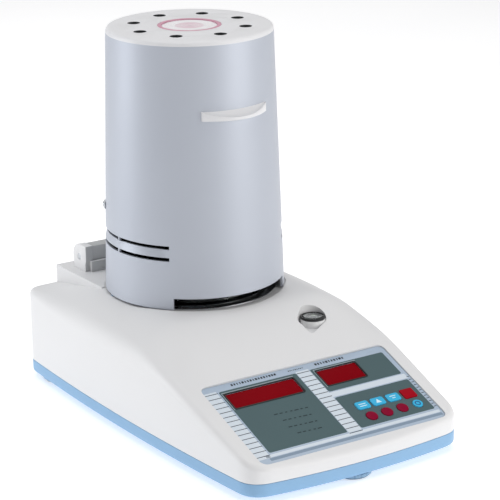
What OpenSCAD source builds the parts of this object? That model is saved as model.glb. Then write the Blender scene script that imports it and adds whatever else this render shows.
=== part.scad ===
// Grain moisture meter: a balance base with a sloped key panel and a tall heating hood hinged at the rear.
// Millimetres. +Z is up, -Y is the side the operator stands at, z = 0 is the surface it stands on.

/* [Base] */
// Length of the base, front to rear, over its bowed ends
base_l = 372.4; // [368:0.2:378]
// Width of the base at its middle
base_w = 218.4; // [216:0.2:222]
// Height of the joint between the tray and the cover
seam_z = 16.3; // [15:0.1:18]
// Thickness of the moulded cover
cover_t = 2.6; // [2.2:0.1:3]
// Height of the flat deck under the hood
deck_top = 98.4; // [98:0.1:99]

/* [Hood] */
// Overall height of the meter
total_h = 325; // [315:1:335]
// Radius of the hood at its lower edge
hood_r_low = 77.1; // [76.5:0.1:77.5]
// Radius of the hood at its upper edge
hood_r_top = 70.4; // [69.5:0.1:71]
// Distance of the hood's axis behind the middle of the base
hood_y = 62.15; // [61.5:0.05:63]
// Thickness of the hood's wall
hood_t = 2; // [1.6:0.1:2.4]

/* [Sample pan] */
// Radius of the sample pan
pan_r = 47; // [40:1:50]
// Height of the sample pan's wall
pan_h = 7; // [5:1:9]

/* [Panel] */
// Width of the key panel
panel_w = 180; // [176:1:182]
// Length of the key panel down the slope
panel_l = 97; // [92:1:98]
// Travel of a key
key_travel = 0.5; // [0.3:0.1:0.6]

/* [Hidden] */
$fn = 72;
eps = 0.01;
fit = 0.03;

// Colours
white = "#E6E6E8";
hood_grey = "#C3C9D4";
blue = "#8FB3D4";
silver = "#B8C8D8";
steel = "#B9BCC0";
black = "#202224";

// Outline of the base
half_l = base_l / 2;
half_w = base_w / 2;
tray_z = 4.8;
tray_t = 2.4;
side_bow = 6.6;
front_bow = 8.4;
rear_bow = 4.4;
corner_x = half_w - side_bow;
front_corner_r = 18;
rear_corner_r = 13;
front_steps = 4;
corner_steps = 4;
side_steps = 13;

function clamp(v, low, high) = min(max(v, low), high);
function mix(a, b, t) = a + (b - a) * t;
function soft_min(a, b, k) = (a + b - sqrt((a - b) * (a - b) + k * k)) / 2;
function soft_max(a, b, k) = (a + b + sqrt((a - b) * (a - b) + k * k)) / 2;

function side_x(y) = half_w - side_bow * pow(y / (half_l - front_bow), 2);
function front_y(x) = -half_l + front_bow * pow(x / corner_x, 2);
function rear_y(x) = half_l - rear_bow * pow(x / corner_x, 2);
function bend(a, b, c, t) = a * (1 - t) * (1 - t) + b * 2 * t * (1 - t) + c * t * t;

front_side_y = -half_l + front_bow + front_corner_r;
rear_side_y = half_l - rear_bow - rear_corner_r;
front_edge_x = corner_x - front_corner_r;
rear_edge_x = corner_x - rear_corner_r;

// Right half of the outline, from the middle of the front edge to the middle of the rear edge
half_outline = concat(
  [for (i = [0:front_steps - 1]) let (x = front_edge_x * i / front_steps) [x, front_y(x)]],
  [for (i = [0:corner_steps]) bend([front_edge_x, front_y(front_edge_x)], [corner_x + 0.4, front_y(corner_x)],
                                   [side_x(front_side_y), front_side_y], i / corner_steps)],
  [for (i = [1:side_steps - 1]) let (y = mix(front_side_y, rear_side_y, i / side_steps)) [side_x(y), y]],
  [for (i = [0:corner_steps]) bend([side_x(rear_side_y), rear_side_y], [corner_x + 0.2, rear_y(corner_x)],
                                   [rear_edge_x, rear_y(rear_edge_x)], i / corner_steps)],
  [for (i = [1:front_steps]) let (x = rear_edge_x * (1 - i / front_steps)) [x, rear_y(x)]]
);
half_n = len(half_outline);
outline = concat(half_outline, [for (i = [half_n - 2:-1:1]) [-half_outline[i][0], half_outline[i][1]]]);
ring_n = len(outline);

// The outline is drawn in towards a smaller rectangle, so that rings never cross
core_in = 28;
core_x = corner_x - core_in;
core_y = half_l - rear_bow - core_in;
core_round = 0.15;
function core(p) = mix([clamp(p[0], -core_x, core_x), clamp(p[1], -core_y, core_y)], p, core_round);
function inward(p, d) = p + (core(p) - p) / norm(core(p) - p) * d;
function inset_outline(d) = [for (p = outline) inward(p, d)];

// Key panel: a plane that falls to the front
panel_y = -82.6;
panel_z = 65.7;
panel_slope = 0.3794;
panel_angle = atan(panel_slope);
panel_top_v = 3;
panel_recess = 1;
panel_bed = 3.4;
panel_rise = 0.5;

// Height of the deck over the plan
slope_start_y = -20;
front_slope = 0.5;
rear_slope = 0.19;
rear_start_y = 92;
shoulder_x = 66;
shoulder_power = 1.6;
edge_rear_z = 81.5;
edge_fall = 8.5;
edge_fall_y = 130;
edge_start_y = 70;
edge_rise = 1.5;

function panel_plane(y) = panel_z + panel_rise + panel_slope * (y - panel_y);
function middle_z(y) =
  soft_min(soft_min(deck_top + 0.6, deck_top + rear_slope * (rear_start_y - y), 1),
           soft_max(deck_top + front_slope * (y - slope_start_y), panel_plane(y), 2), 3);
function edge_z(y) =
  soft_min(edge_rear_z - edge_fall * pow(max(0, edge_start_y - y) / edge_fall_y, 2),
           panel_plane(y) + edge_rise, 5);
function shoulder(x, y) = pow(max(0, abs(x) - shoulder_x) / (side_x(y) - shoulder_x), shoulder_power);
function deck_z(x, y) = mix(middle_z(y), min(edge_z(y), middle_z(y) + edge_rise), shoulder(x, y));

// Rounding of the cover's upper edge: tight at both ends, softer along the sides
edge_r_end = 4;
edge_r_side = 9.5;
function edge_r(y) = mix(edge_r_side, edge_r_end, pow(clamp(abs(y) / 180, 0, 1), 4));
fillet_steps = 4;
skirt_steps = 3;
inner_steps = 7;
function fillet_in(y, i) = edge_r(y) * (1 - cos(90 * i / fillet_steps));
function fillet_down(y, i) = edge_r(y) * (1 - sin(90 * i / fillet_steps));

function on_deck(p, drop) = [p[0], p[1], deck_z(p[0], p[1]) - drop];
function fillet_ring(inset, drop, i) = [for (p = outline) let (q = inward(p, inset + fillet_in(p[1], i)))
  [q[0], q[1], deck_z(q[0], q[1]) - drop - fillet_down(p[1], i)]];
function skirt_ring(inset, drop, i) = [for (p = outline)
  on_deck(mix(inward(p, inset + edge_r(p[1])), core(p), i / skirt_steps), drop)];
function inner_ring(drop, i) = [for (p = outline) let (c = core(p), t = i / inner_steps)
  on_deck([mix(c[0], c[0] * 0.03, t), mix(c[1], c[1] * 0.8, t)], drop)];
function flat_ring(inset, z) = [for (p = inset_outline(inset)) [p[0], p[1], z]];

// Closed solid under the deck surface; inset and drop give the inner side of the shell
module deck_solid(inset, drop, bottom) {
  rings = concat(
    [flat_ring(inset, bottom)],
    [for (i = [0:fillet_steps]) fillet_ring(inset, drop, i)],
    [for (i = [1:skirt_steps]) skirt_ring(inset, drop, i)],
    [for (i = [1:inner_steps]) inner_ring(drop, i)]
  );
  last = len(rings) - 1;
  points = [for (r = rings) for (p = r) p];
  sides = [for (r = [0:last - 1]) for (i = [0:ring_n - 1])
    let (j = (i + 1) % ring_n, a = r * ring_n, b = a + ring_n)
    each [[a + i, b + i, a + j], [a + j, b + i, b + j]]];
  cap_from = last * ring_n;
  cap = [for (i = [0:half_n - 2]) let (a = cap_from + i, b = cap_from + i + 1,
                                        c = cap_from + (ring_n - i - 1) % ring_n,
                                        d = cap_from + (ring_n - i) % ring_n)
    each concat(i == 0 ? [] : [[a, d, c]], i == half_n - 2 ? [] : [[a, c, b]])];
  floor_face = [for (i = [0:ring_n - 1]) i];
  polyhedron(points = points, faces = concat(sides, cap, [floor_face]), convexity = 10);
}

// Puts children on the key panel: u to the right of the middle, v down from the panel's datum line
module on_panel(u, v) {
  translate([0, panel_y, panel_z]) rotate([panel_angle, 0, 0]) translate([u, -v, 0]) children();
}
module rounded_plate(w, l, t, r) {
  linear_extrude(t) {
    square([w - 2 * r, l], center = true);
    square([w, l - 2 * r], center = true);
    for (x = [-1, 1], y = [-1, 1]) translate([x * (w / 2 - r), y * (l / 2 - r)]) circle(r);
  }
}
module panel_plate(u, v, w, l, t, z, r) {
  on_panel(u, v) translate([0, 0, z]) rounded_plate(w, l, t, r);
}
module ring(r_out, r_in, h) {
  difference() {
    cylinder(r = r_out, h = h);
    translate([0, 0, -1]) cylinder(r = r_in, h = h + 2);
  }
}

// Places on the panel, from its middle line and its datum line
key_u = [29, 44.3, 59.7, 75.1];
key_row_v = [64.6, 78.3];
key_clear = 0.3;
key_hole = [13.2, 11.8];
window_left = [-40.4, 24.2, 66, 17.6];
window_right = [35.4, 24, 39, 19];
panel_mid_v = panel_top_v + panel_l / 2;
board_z = -12;
board_t = 1.6;
board_w = 166;
board_l = 80;

// Lower tray
foot_pos = [[0, -169], [85, 156], [-85, 156]];
cover_screw_pos = [[92, -146], [-92, -146], [94, -20], [-94, -20], [42, 150], [-42, 150]];
board_posts = [[-80, -96], [-12, -96], [-80, 22], [-12, 22]];
tray_floor = tray_z + tray_t;
stud_r = 3;
module base_tray() {
  color(blue) difference() {
    union() {
      difference() {
        translate([0, 0, tray_z]) linear_extrude(seam_z - tray_z) polygon(inset_outline(0));
        translate([0, 0, tray_floor]) linear_extrude(seam_z) polygon(inset_outline(cover_t));
      }
      translate([0, 0, tray_floor - eps]) linear_extrude(seam_z - tray_floor) difference() {
        polygon(inset_outline(cover_t - eps));
        polygon(inset_outline(cover_t + 1.4));
      }
      translate([0, 0, seam_z - 1]) linear_extrude(3.5) difference() {
        polygon(inset_outline(cover_t + 0.15));
        polygon(inset_outline(cover_t + 1.4));
      }
      for (p = foot_pos) translate([p[0], p[1], tray_z]) cylinder(r = 9, h = 9);
      for (p = cover_screw_pos) translate([p[0], p[1], tray_z]) cylinder(r = 5.5, h = seam_z - tray_z);
      for (p = board_posts) translate([p[0], p[1], tray_z]) cylinder(r = 4, h = 11);
    }
    for (p = foot_pos) translate([p[0], p[1], tray_z - 1]) cylinder(r = stud_r + 0.05, h = 12);
    for (p = cover_screw_pos) translate([p[0], p[1], tray_z - 1]) {
      cylinder(r = 2.1, h = 20);
      cylinder(r = 4, h = 4);
    }
    for (x = [-1, 1], i = [0:7]) translate([x * 48, -70 + i * 9, tray_z - 1]) cube([38, 3, 6], center = true);
  }
}

// Upper cover with the deck, the plinth behind the hood and the rear wall
hood_seat_r = hood_r_low + 1.3;
seat_z = 97;
chamber_hole_r = 62.6;
plinth_x = 71.5;
plinth_y0 = 100;
plinth_top = 97.5;
plinth_y1 = 181;
bracket_screw_pos = [[58, 150], [-58, 150], [58, 162], [-58, 162]];
rear_flat_y = 179.2;
rear_wall_t = 2.6;
inlet_x = -58;
switch_x = -24;
fuse_x = 2;
serial_x = 48;
rear_z = 50;
level_pos = [51.5, -41.7];
level_floor = 78.4;
scoop_side = [40.5, -45];
scoop_tip = [39.4, -56.5];
module level_scoop(grow, bottom) {
  translate([0, 0, bottom]) linear_extrude(40) hull() {
    translate(level_pos) circle(r = 12.4 + grow, $fn = 32);
    translate(scoop_side) circle(r = 6 + grow, $fn = 24);
    translate(scoop_tip) circle(r = 3 + grow, $fn = 24);
  }
}
module plinth(lower) {
  translate([-plinth_x, plinth_y0, plinth_top - 24 - lower]) cube([2 * plinth_x, plinth_y1 - plinth_y0, 24]);
}
module top_cover() {
  color(white) difference() {
    union() {
      difference() {
        union() {
          deck_solid(0, 0, seam_z);
          plinth(0);
        }
        deck_solid(cover_t, cover_t, seam_z - 1);
        translate([-plinth_x + cover_t, plinth_y0, plinth_top - 30])
          cube([2 * (plinth_x - cover_t), plinth_y1 - plinth_y0 - cover_t, 30 - cover_t]);
      }
      intersection() {
        union() {
          deck_solid(0.5, 0.5, seam_z);
          plinth(0.5);
        }
        union() {
          translate([0, hood_y, seat_z - 3]) cylinder(r = hood_seat_r + 3, h = 5);
          level_scoop(2.4, level_floor - 2.6);
          on_panel(0, panel_mid_v) translate([0, 0, -panel_bed / 2])
            cube([panel_w + 5, panel_l + 1, panel_bed], center = true);
          translate([-88, rear_flat_y - rear_wall_t, 24]) cube([176, 10, 53]);
          for (p = cover_screw_pos) translate([p[0], p[1], seam_z]) cylinder(r = 5, h = 90);
        }
      }
    }
    translate([0, hood_y, seat_z]) cylinder(r = hood_seat_r, h = 10);
    translate([0, hood_y, seat_z - 40]) cylinder(r = chamber_hole_r, h = 60);
    level_scoop(0, level_floor);
    panel_plate(0, panel_mid_v, panel_w + 0.6, panel_l + 0.6, 10, -panel_recess, 6);
    for (w = [window_left, window_right]) panel_plate(w[0], w[1], w[2] + 0.4, w[3] + 0.4, 20, -15, 1.5);
    for (u = key_u, v = key_row_v) panel_plate(u, v, key_hole[0], key_hole[1], 20, -15, 1.5);
    translate([-84, rear_flat_y, 28]) cube([168, 20, 45]);
    translate([inlet_x, rear_flat_y, rear_z]) cube([27.6, 40, 20.6], center = true);
    translate([switch_x, rear_flat_y, rear_z]) cube([13.6, 40, 19.6], center = true);
    translate([fuse_x, rear_flat_y - 20, rear_z]) rotate([-90, 0, 0]) cylinder(r = 6.2, h = 40);
    translate([serial_x, rear_flat_y, rear_z]) cube([19.6, 40, 10.6], center = true);
    for (p = cover_screw_pos) translate([p[0], p[1], seam_z - 1]) cylinder(r = 1.7, h = 14);
    for (p = bracket_screw_pos) translate([p[0], p[1], plinth_top - 10]) cylinder(r = 2, h = 20);
  }
}

// Printed facing of the key panel, with openings for the windows and the keys
module key_outline(row, i, grow) {
  if (row == 0 && i < 3) rounded_plate(12.6 + 2 * grow, 8.8 + 2 * grow, 1, 2 + grow);
  if (row == 0 && i == 3) rounded_plate(12.4 + 2 * grow, 11 + 2 * grow, 1, 1.2 + grow);
  if (row == 1) cylinder(r = (i == 3 ? 4.3 : 5) + grow, h = 1);
}
module panel_overlay() {
  color(silver) difference() {
    panel_plate(0, panel_mid_v, panel_w, panel_l, panel_recess, -panel_recess, 5.5);
    for (w = [window_left, window_right]) panel_plate(w[0], w[1], w[2], w[3], 20, -10, 1.5);
    for (row = [0, 1], i = [0:3]) on_panel(key_u[i], key_row_v[row])
      translate([0, 0, -5]) scale([1, 1, 10]) key_outline(row, i, key_clear);
  }
}
module display_window(w) {
  color("#80060F") panel_plate(w[0], w[1], w[2] - 0.3, w[3] - 0.3, 2.2, -2.4, 1.3);
}
module led_display(w, digits) {
  pitch = (w[2] - 4) / digits;
  color(black) difference() {
    panel_plate(w[0], w[1], w[2] - 1, w[3] - 1, 7.6, board_z + board_t, 1);
    for (i = [0:digits - 1]) on_panel(w[0] + (i - (digits - 1) / 2) * pitch, w[1])
      translate([0, 0, -2.8]) cube([pitch * 0.62, w[3] * 0.68, 1.2], center = true);
  }
}
module panel_board() {
  color("#2E6B3F") difference() {
    panel_plate(0, 55, board_w, board_l, board_t, board_z, 2);
    for (x = [-1, 1], y = [-1, 1]) on_panel(x * (board_w / 2 - 5), 55 + y * (board_l / 2 - 5))
      translate([0, 0, board_z - 1]) cylinder(r = 1.7, h = 4);
  }
}
switch_top = -6.7;
module tact_switches() {
  color(black) for (u = key_u, v = key_row_v) on_panel(u, v) {
    translate([-3, -3, board_z + board_t]) cube([6, 6, 2.6]);
    translate([0, 0, board_z + board_t + 2.5]) cylinder(r = 1.7, h = switch_top - board_z - board_t - 2.5);
  }
}

// One key: cap through the facing, a collar under the bed and a stem over its switch
key_proud = 0.8;
module panel_key(row, i) {
  red = row == 0 && i == 3 || row == 1 && i < 3;
  color(red ? "#9A0012" : "#48BCE0") on_panel(key_u[i], key_row_v[row]) {
    translate([0, 0, -1]) scale([1, 1, 1 + key_proud]) key_outline(row, i, 0);
    translate([0, 0, -4.4]) rounded_plate(8.4, 7.4, 3.5, 3);
    translate([0, 0, -5.2]) rounded_plate(key_hole[0] + 1.2, key_hole[1] + 1, 0.8, 2);
    translate([0, 0, switch_top + key_travel + 0.1]) cylinder(r = 1.6, h = -5.1 - switch_top - key_travel);
  }
}

// Electronics in the tray
module main_board() {
  color("#2E6B3F") difference() {
    translate([-86, -104, 15.8]) cube([82, 134, 1.6]);
    for (p = board_posts) translate([p[0], p[1], 14]) cylinder(r = 1.6, h = 6);
  }
  color(black) {
    translate([-60, -60, 17.4]) cube([14, 14, 2.4]);
    translate([-36, -52, 17.4]) cube([18, 8, 3]);
    translate([-36, -30, 17.4]) cube([10, 26, 12]);
  }
  color("#3B5C9A") for (i = [0:2]) translate([-74 + i * 16, 4, 17.4]) cylinder(r = 6, h = 18);
  color(white) translate([-30, 14, 17.4]) cube([20, 6, 9]);
}
module transformer() {
  color("#5A5C60") difference() {
    translate([36, 66, tray_floor]) cube([54, 44, 46]);
    for (x = [45, 71]) translate([x, 60, tray_floor + 9]) cube([10, 60, 28]);
  }
  color("#C9A227") for (x = [46, 72]) translate([x, 63, tray_floor + 10]) cube([8, 50, 26]);
  color(steel) for (y = [60, 108]) translate([36, y, tray_floor]) cube([54, 8, 2]);
}
cell_z = 38;
cell_bolt_y = [124, 140];
module load_cell() {
  color("#C8CACD") difference() {
    translate([-11, 44, cell_z]) cube([22, 104, 24]);
    for (y = [78, 108]) translate([-12, y, cell_z + 12]) rotate([0, 90, 0]) cylinder(r = 9.5, h = 24);
    translate([-12, 78, cell_z + 9]) cube([24, 30, 6]);
    for (y = cell_bolt_y) translate([0, y, cell_z - 1]) cylinder(r = 2.6, h = 26);
    translate([0, hood_y, cell_z + 12]) cylinder(r = 2.5, h = 20);
  }
}
module load_cell_block() {
  color("#A9ABAF") difference() {
    translate([-20, 118, tray_floor]) cube([40, 34, cell_z - tray_floor]);
    for (y = cell_bolt_y) translate([0, y, tray_floor - 1]) cylinder(r = 2.6, h = 40);
  }
}
spindle_r = 4;
module weighing_spindle() {
  color(steel) translate([0, hood_y, 0]) {
    translate([0, 0, cell_z + 24]) cylinder(r = 7, h = 2);
    translate([0, 0, cell_z + 12.5]) cylinder(r = 2.45, h = 12);
    translate([0, 0, cell_z + 25.9]) cylinder(r = spindle_r, h = 90 - cell_z - 25.9);
    translate([0, 0, 90 - eps]) cylinder(r1 = spindle_r, r2 = 2.4, h = 2);
  }
}

// Steel dish that closes the deck under the hood
dish_floor = 86;
dish_t = 0.8;
module drying_chamber() {
  color(steel) translate([0, hood_y, 0]) rotate_extrude() polygon([
    [8, dish_floor], [61.2, dish_floor], [61.2, seat_z], [70, seat_z], [70, seat_z + dish_t],
    [60.4, seat_z + dish_t], [60.4, dish_floor + dish_t], [8.8, dish_floor + dish_t],
    [8.8, dish_floor + 3], [8, dish_floor + 3]
  ]);
}
support_z = 92.2;
module pan_support() {
  color(steel) translate([0, hood_y, 0]) {
    difference() {
      translate([0, 0, dish_floor + 3.4]) cylinder(r = 6.4, h = support_z + 2 - dish_floor - 3.4);
      translate([0, 0, dish_floor]) cylinder(r = spindle_r + 0.06, h = 90 - dish_floor);
      translate([0, 0, 90 - 0.02]) cylinder(r1 = spindle_r + 0.08, r2 = 2.5, h = 2.1);
    }
    for (a = [90, 210, 330]) rotate(a) {
      translate([5, -2, support_z]) cube([pan_r - 16, 4, 1.6]);
      translate([pan_r - 13, -2, support_z]) cube([2, 4, 2.8]);
    }
  }
}
pan_z = support_z + 2.8;
module sample_pan() {
  color("#CFD2D6") translate([0, hood_y, 0]) rotate_extrude() polygon([
    [0, pan_z], [pan_r - 1.6, pan_z], [pan_r - 0.5, pan_z + pan_h - 0.6], [pan_r + 1.5, pan_z + pan_h - 0.6],
    [pan_r + 1.5, pan_z + pan_h], [pan_r - 1, pan_z + pan_h], [pan_r - 2, pan_z + 0.6], [0, pan_z + 0.6]
  ]);
}
shield_r = 56;
shield_top = 105;
module wind_shield() {
  color("#D8E4EA") translate([0, hood_y, dish_floor + dish_t]) difference() {
    ring(shield_r, shield_r - 1.6, shield_top - dish_floor - dish_t);
    for (a = [0:30:330]) rotate(a) translate([shield_r - 1, 0, 3]) rotate([0, 90, 0])
      cylinder(r = 1.6, h = 6, center = true);
  }
}

// Hinge between the plinth and the hood
pin_y = 156;
pin_z = 109.5;
pin_r = 3;
bar_half = 54;
ear_out = 61.5;
bar_r = 10.5;
module hinge_profile(half, r) {
  translate([-half, pin_y, pin_z]) rotate([90, 0, 90]) linear_extrude(2 * half) {
    circle(r);
    translate([-r, -1.4]) square([r, r + 1.4]);
  }
}
module hinge_bracket() {
  color("#D9DADC") difference() {
    union() {
      translate([-bar_half - 3, 142, plinth_top]) cube([2 * bar_half + 6, 27, 9.5]);
      for (x = [-1, 1]) intersection() {
        translate([0, -0.4, 0]) hinge_profile(ear_out, bar_r + 0.8);
        translate([x * (bar_half + 0.5 + ear_out) / 2, pin_y, pin_z])
          cube([ear_out - bar_half - 0.5, 40, 60], center = true);
      }
      for (x = [-1, 1]) translate([x * (bar_half + 4) - 3.5, 145.5, plinth_top]) cube([7, 21, 12]);
    }
    translate([-bar_half - 0.5, pin_y, pin_z]) rotate([0, 90, 0])
      cylinder(r = bar_r + 0.6, h = 2 * bar_half + 1);
    translate([-bar_half - 0.5, 145.2, 107]) cube([2 * bar_half + 1, 40, 20]);
    translate([-70, pin_y, pin_z]) rotate([0, 90, 0]) cylinder(r = pin_r, h = 140);
    for (p = bracket_screw_pos) translate([p[0], p[1], plinth_top - 1]) cylinder(r = 1.6, h = 8);
  }
}
module hinge_pin() {
  color(steel) translate([-ear_out, pin_y, pin_z]) rotate([0, 90, 0]) cylinder(r = pin_r, h = 2 * ear_out);
}
function hood_r(z) = mix(hood_r_low, hood_r_top, (z - hood_z) / (total_h - hood_z));
hood_z = 98.6;
arm_half = 34;
hood_bolt_x = 24;
hood_bolt_z = 114.5;
bolt_r = 2;
module hinge_bar() {
  color("#D9DADC") difference() {
    union() {
      hinge_profile(bar_half, bar_r);
      translate([-arm_half, 126, 109]) cube([2 * arm_half, 20, 11]);
    }
    translate([0, hood_y, 100]) cylinder(r1 = hood_r(100) + fit, r2 = hood_r(130) + fit, h = 30);
    translate([-70, pin_y, pin_z]) rotate([0, 90, 0]) cylinder(r = pin_r + 0.06, h = 140);
    for (x = [-hood_bolt_x, hood_bolt_x]) translate([x, hood_y + 60, hood_bolt_z]) rotate([-90, 0, 0])
      cylinder(r = bolt_r + 0.05, h = 22);
  }
}

// Hood
cap_z = total_h - 4;
slot_h = 3.2;
slot_low_z = 140.4;
slot_high_z = 150.4;
slot_front = 47.8;
slot_end = 132;
front_gap = 45.5;
front_gap_z = 108.6;
// A wedge of a full circle, from one angle to another measured from the front, positive to the right
module sector(from, to, r, h) {
  steps = 8;
  linear_extrude(h) polygon(concat([[0, 0]],
    [for (i = [0:steps]) let (a = mix(from, to, i / steps))
      [r * sin(a), -r * cos(a)]]));
}
module hood_shell() {
  color(hood_grey) difference() {
    translate([0, hood_y, 0]) difference() {
      rotate_extrude() polygon([
        [hood_r_low - hood_t, hood_z], [hood_r_low, hood_z],
        [hood_r(cap_z), cap_z], [hood_r(cap_z) - hood_t, cap_z]
      ]);
      translate([0, 0, hood_z - 1]) sector(-front_gap, front_gap, 100, front_gap_z - hood_z + 1);
      for (s = [-1, 1], z = [slot_low_z, slot_high_z]) {
        translate([0, 0, z]) sector(s * slot_front, s * 88, 100, slot_h);
        translate([0, 0, z]) sector(s * 89.4, s * slot_end, 100, slot_h);
      }
      for (a = liner_screw_a) rotate(a) translate([0, -60, liner_screw_z]) rotate([90, 0, 0])
        cylinder(r = 1.8, h = 30);
    }
    for (x = [-handle_bolt_x, handle_bolt_x]) translate([x, hood_y - 60, handle_z + 2.6]) rotate([90, 0, 0])
      cylinder(r = bolt_r + 0.1, h = 30);
    for (x = [-hood_bolt_x, hood_bolt_x]) translate([x, hood_y + 50, hood_bolt_z]) rotate([-90, 0, 0])
      cylinder(r = bolt_r + 0.1, h = 40);
  }
}
vent_n = 8;
vent_r = 5.4;
vent_pcd = 48;
window_r = 26.5;
module top_cap() {
  color(white) translate([0, hood_y, 0]) difference() {
    rotate_extrude() union() {
      difference() {
        union() {
          polygon([[window_r + 0.5, cap_z], [hood_r(cap_z), cap_z], [hood_r(cap_z) - 0.1, total_h - 3],
                   [hood_r_top - 3, total_h - 3], [hood_r_top - 3, total_h], [window_r + 0.5, total_h]]);
          intersection() {
            translate([hood_r_top - 3.1, total_h - 3]) circle(r = 3, $fn = 48);
            translate([0, cap_z]) square([100, 10]);
          }
        }
        translate([window_r, cap_z - 1]) square([38, 2]);
      }
      translate([64, cap_z - 6]) square([hood_r(cap_z) - hood_t - 0.15 - 64, 7]);
    }
    for (i = [0:vent_n - 1]) rotate(i * 360 / vent_n) translate([0, -vent_pcd, cap_z - 2])
      cylinder(r = vent_r, h = 10);
  }
}
module window_ring() {
  color(white) translate([0, hood_y, 0]) difference() {
    translate([0, 0, total_h - 1.4]) cylinder(r = window_r + 0.4, h = 1.4);
    translate([0, 0, total_h - 2]) cylinder(r = window_r - 3, h = 4);
  }
}
module window_glass() {
  color("#E8C6D2", 0.6) translate([0, hood_y, 0]) {
    translate([0, 0, total_h - 3.8]) cylinder(r = window_r + 0.4, h = 2.4);
    translate([0, 0, total_h - 1.5]) cylinder(r = window_r - 3.1, h = 1.1);
  }
}
handle_z = 259.4;
handle_bolt_x = 14;
handle_h = 7.8;
handle_half = 31;
handle_out = 7.5;
module hood_handle() {
  surface_r = hood_r(handle_z + handle_h / 2);
  reach = surface_r + handle_out;
  sag = handle_out + surface_r - sqrt(surface_r * surface_r - handle_half * handle_half) - 3;
  arc_r = (handle_half * handle_half + sag * sag) / (2 * sag);
  color("#F0F0F2") difference() {
    translate([0, hood_y - reach + arc_r, handle_z]) difference() {
      cylinder(r = arc_r, h = handle_h, $fn = 96);
      for (s = [-1, 1]) translate([s * (handle_half + 30), 0, 0]) cube([60, 300, 40], center = true);
      translate([0, arc_r, 0]) cube([200, 2 * arc_r - 2, 40], center = true);
    }
    translate([0, hood_y, hood_z])
      cylinder(r1 = hood_r(hood_z) + fit, r2 = hood_r(total_h) + fit, h = total_h - hood_z);
    for (x = [-handle_bolt_x, handle_bolt_x]) translate([x, hood_y - 60, handle_z + 2.6]) rotate([90, 0, 0])
      cylinder(r = bolt_r + 0.05, h = 15.6);
    translate([0, hood_y - reach - 4, handle_z + handle_h + 22]) rotate([-62, 0, 0])
      cylinder(r = 25, h = 90, center = true);
  }
}

// Inside the hood
liner_r = 66;
liner_z0 = 100.4;
liner_z1 = 306;
liner_screw_a = [118, 242];
liner_screw_z = 172;
module inner_liner() {
  color("#C4C6C9") translate([0, hood_y, 0]) difference() {
    union() {
      translate([0, 0, liner_z0]) ring(liner_r - 2, liner_r - 3, liner_z1 - liner_z0);
      translate([0, 0, liner_z1 - 1]) difference() {
        cylinder(r = liner_r - 2, h = 1.2);
        for (a = [0:30:330]) rotate(a) translate([50, 0, -1]) cylinder(r = 5, h = 4);
        translate([0, 0, -1]) cylinder(r = 24, h = 4);
      }
      for (a = liner_screw_a) rotate(a) translate([0, -liner_r + 3, liner_screw_z]) rotate([90, 0, 0])
        cylinder(r = 4, h = hood_r(liner_screw_z + 5) - hood_t - liner_r + 2.9);
    }
    translate([0, 0, liner_z0 - 1]) sector(-front_gap, front_gap, 100, 9);
    for (a = liner_screw_a) rotate(a) translate([0, -40, liner_screw_z]) rotate([90, 0, 0])
      cylinder(r = 1.4, h = 60);
  }
}
module lamp_bracket() {
  color(steel) translate([0, hood_y, 0]) difference() {
    union() {
      translate([-62, -9.5, 290]) cube([124, 19, 1.6]);
      translate([0, 0, 290]) cylinder(r = 30, h = 1.6);
      for (s = [-1, 1]) translate([s * 61.2 - 0.8, -9.5, 276]) cube([1.6, 19, 15]);
    }
    translate([0, 0, 289]) cylinder(r = 15, h = 5);
    for (s = [-1, 1]) translate([s * 25, 0, 289]) cylinder(r = 2, h = 5);
  }
}
module lamp_socket() {
  color("#EDE9DF") translate([0, hood_y, 0]) {
    difference() {
      union() {
        translate([0, 0, 262]) cylinder(r = 20, h = 28);
        translate([0, 0, 289.9]) cylinder(r = 14.6, h = 12);
      }
      translate([0, 0, 261]) cylinder(r = 13.6, h = 27);
    }
  }
}
module lamp_bulb() {
  color("#D9A7A0") translate([0, hood_y, 0]) rotate_extrude() polygon(concat(
    [[0, 152]],
    [for (a = [0:15:75]) [47.5 * cos(90 - a), 168 - 16 * cos(a)]],
    [[47.5, 172], [46, 182], [38, 204], [28, 224],
     [20, 240], [15.5, 252], [13.2, 258], [13.2, 280], [9, 284], [0, 286]]
  ));
}
module lamp_guard() {
  color(steel) translate([0, hood_y, 136]) {
    ring(62.9, 59, 2);
    for (r = [18, 38]) ring(r + 1, r - 1, 2);
    for (a = [0:45:135]) rotate(a) translate([-60, -1, 0]) cube([120, 2, 2]);
  }
}
probe_z = 127;
module temperature_probe() {
  color(steel) translate([0, hood_y, 0]) rotate(200) {
    translate([0, -62.9, probe_z]) rotate([-90, 0, 0]) cylinder(r = 2, h = 36);
    translate([0, -26.9, probe_z]) sphere(r = 2, $fn = 32);
    translate([0, -59, probe_z]) rotate([-90, 0, 0]) cylinder(r = 4, h = 6);
  }
}
module hood_bolt() {
  cylinder(r = bolt_r, h = 5);
  translate([0, 0, -2]) cylinder(r = 3.6, h = 2.01);
}
module hood_bolts() {
  handle_in = hood_r(handle_z) - hood_t;
  hinge_in = hood_r(hood_bolt_z) - hood_t;
  color(steel) translate([0, hood_y, 0]) {
    for (x = [-1, 1] * handle_bolt_x)
      translate([x, -sqrt(pow(handle_in, 2) - pow(handle_bolt_x + 4, 2)) + 0.3, handle_z + 2.6])
      rotate([90, 0, 0]) hood_bolt();
    for (x = [-1, 1] * hood_bolt_x)
      translate([x, sqrt(pow(hinge_in, 2) - pow(hood_bolt_x + 4, 2)) - 0.3, hood_bolt_z])
      rotate([-90, 0, 0]) hood_bolt();
  }
}
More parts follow.
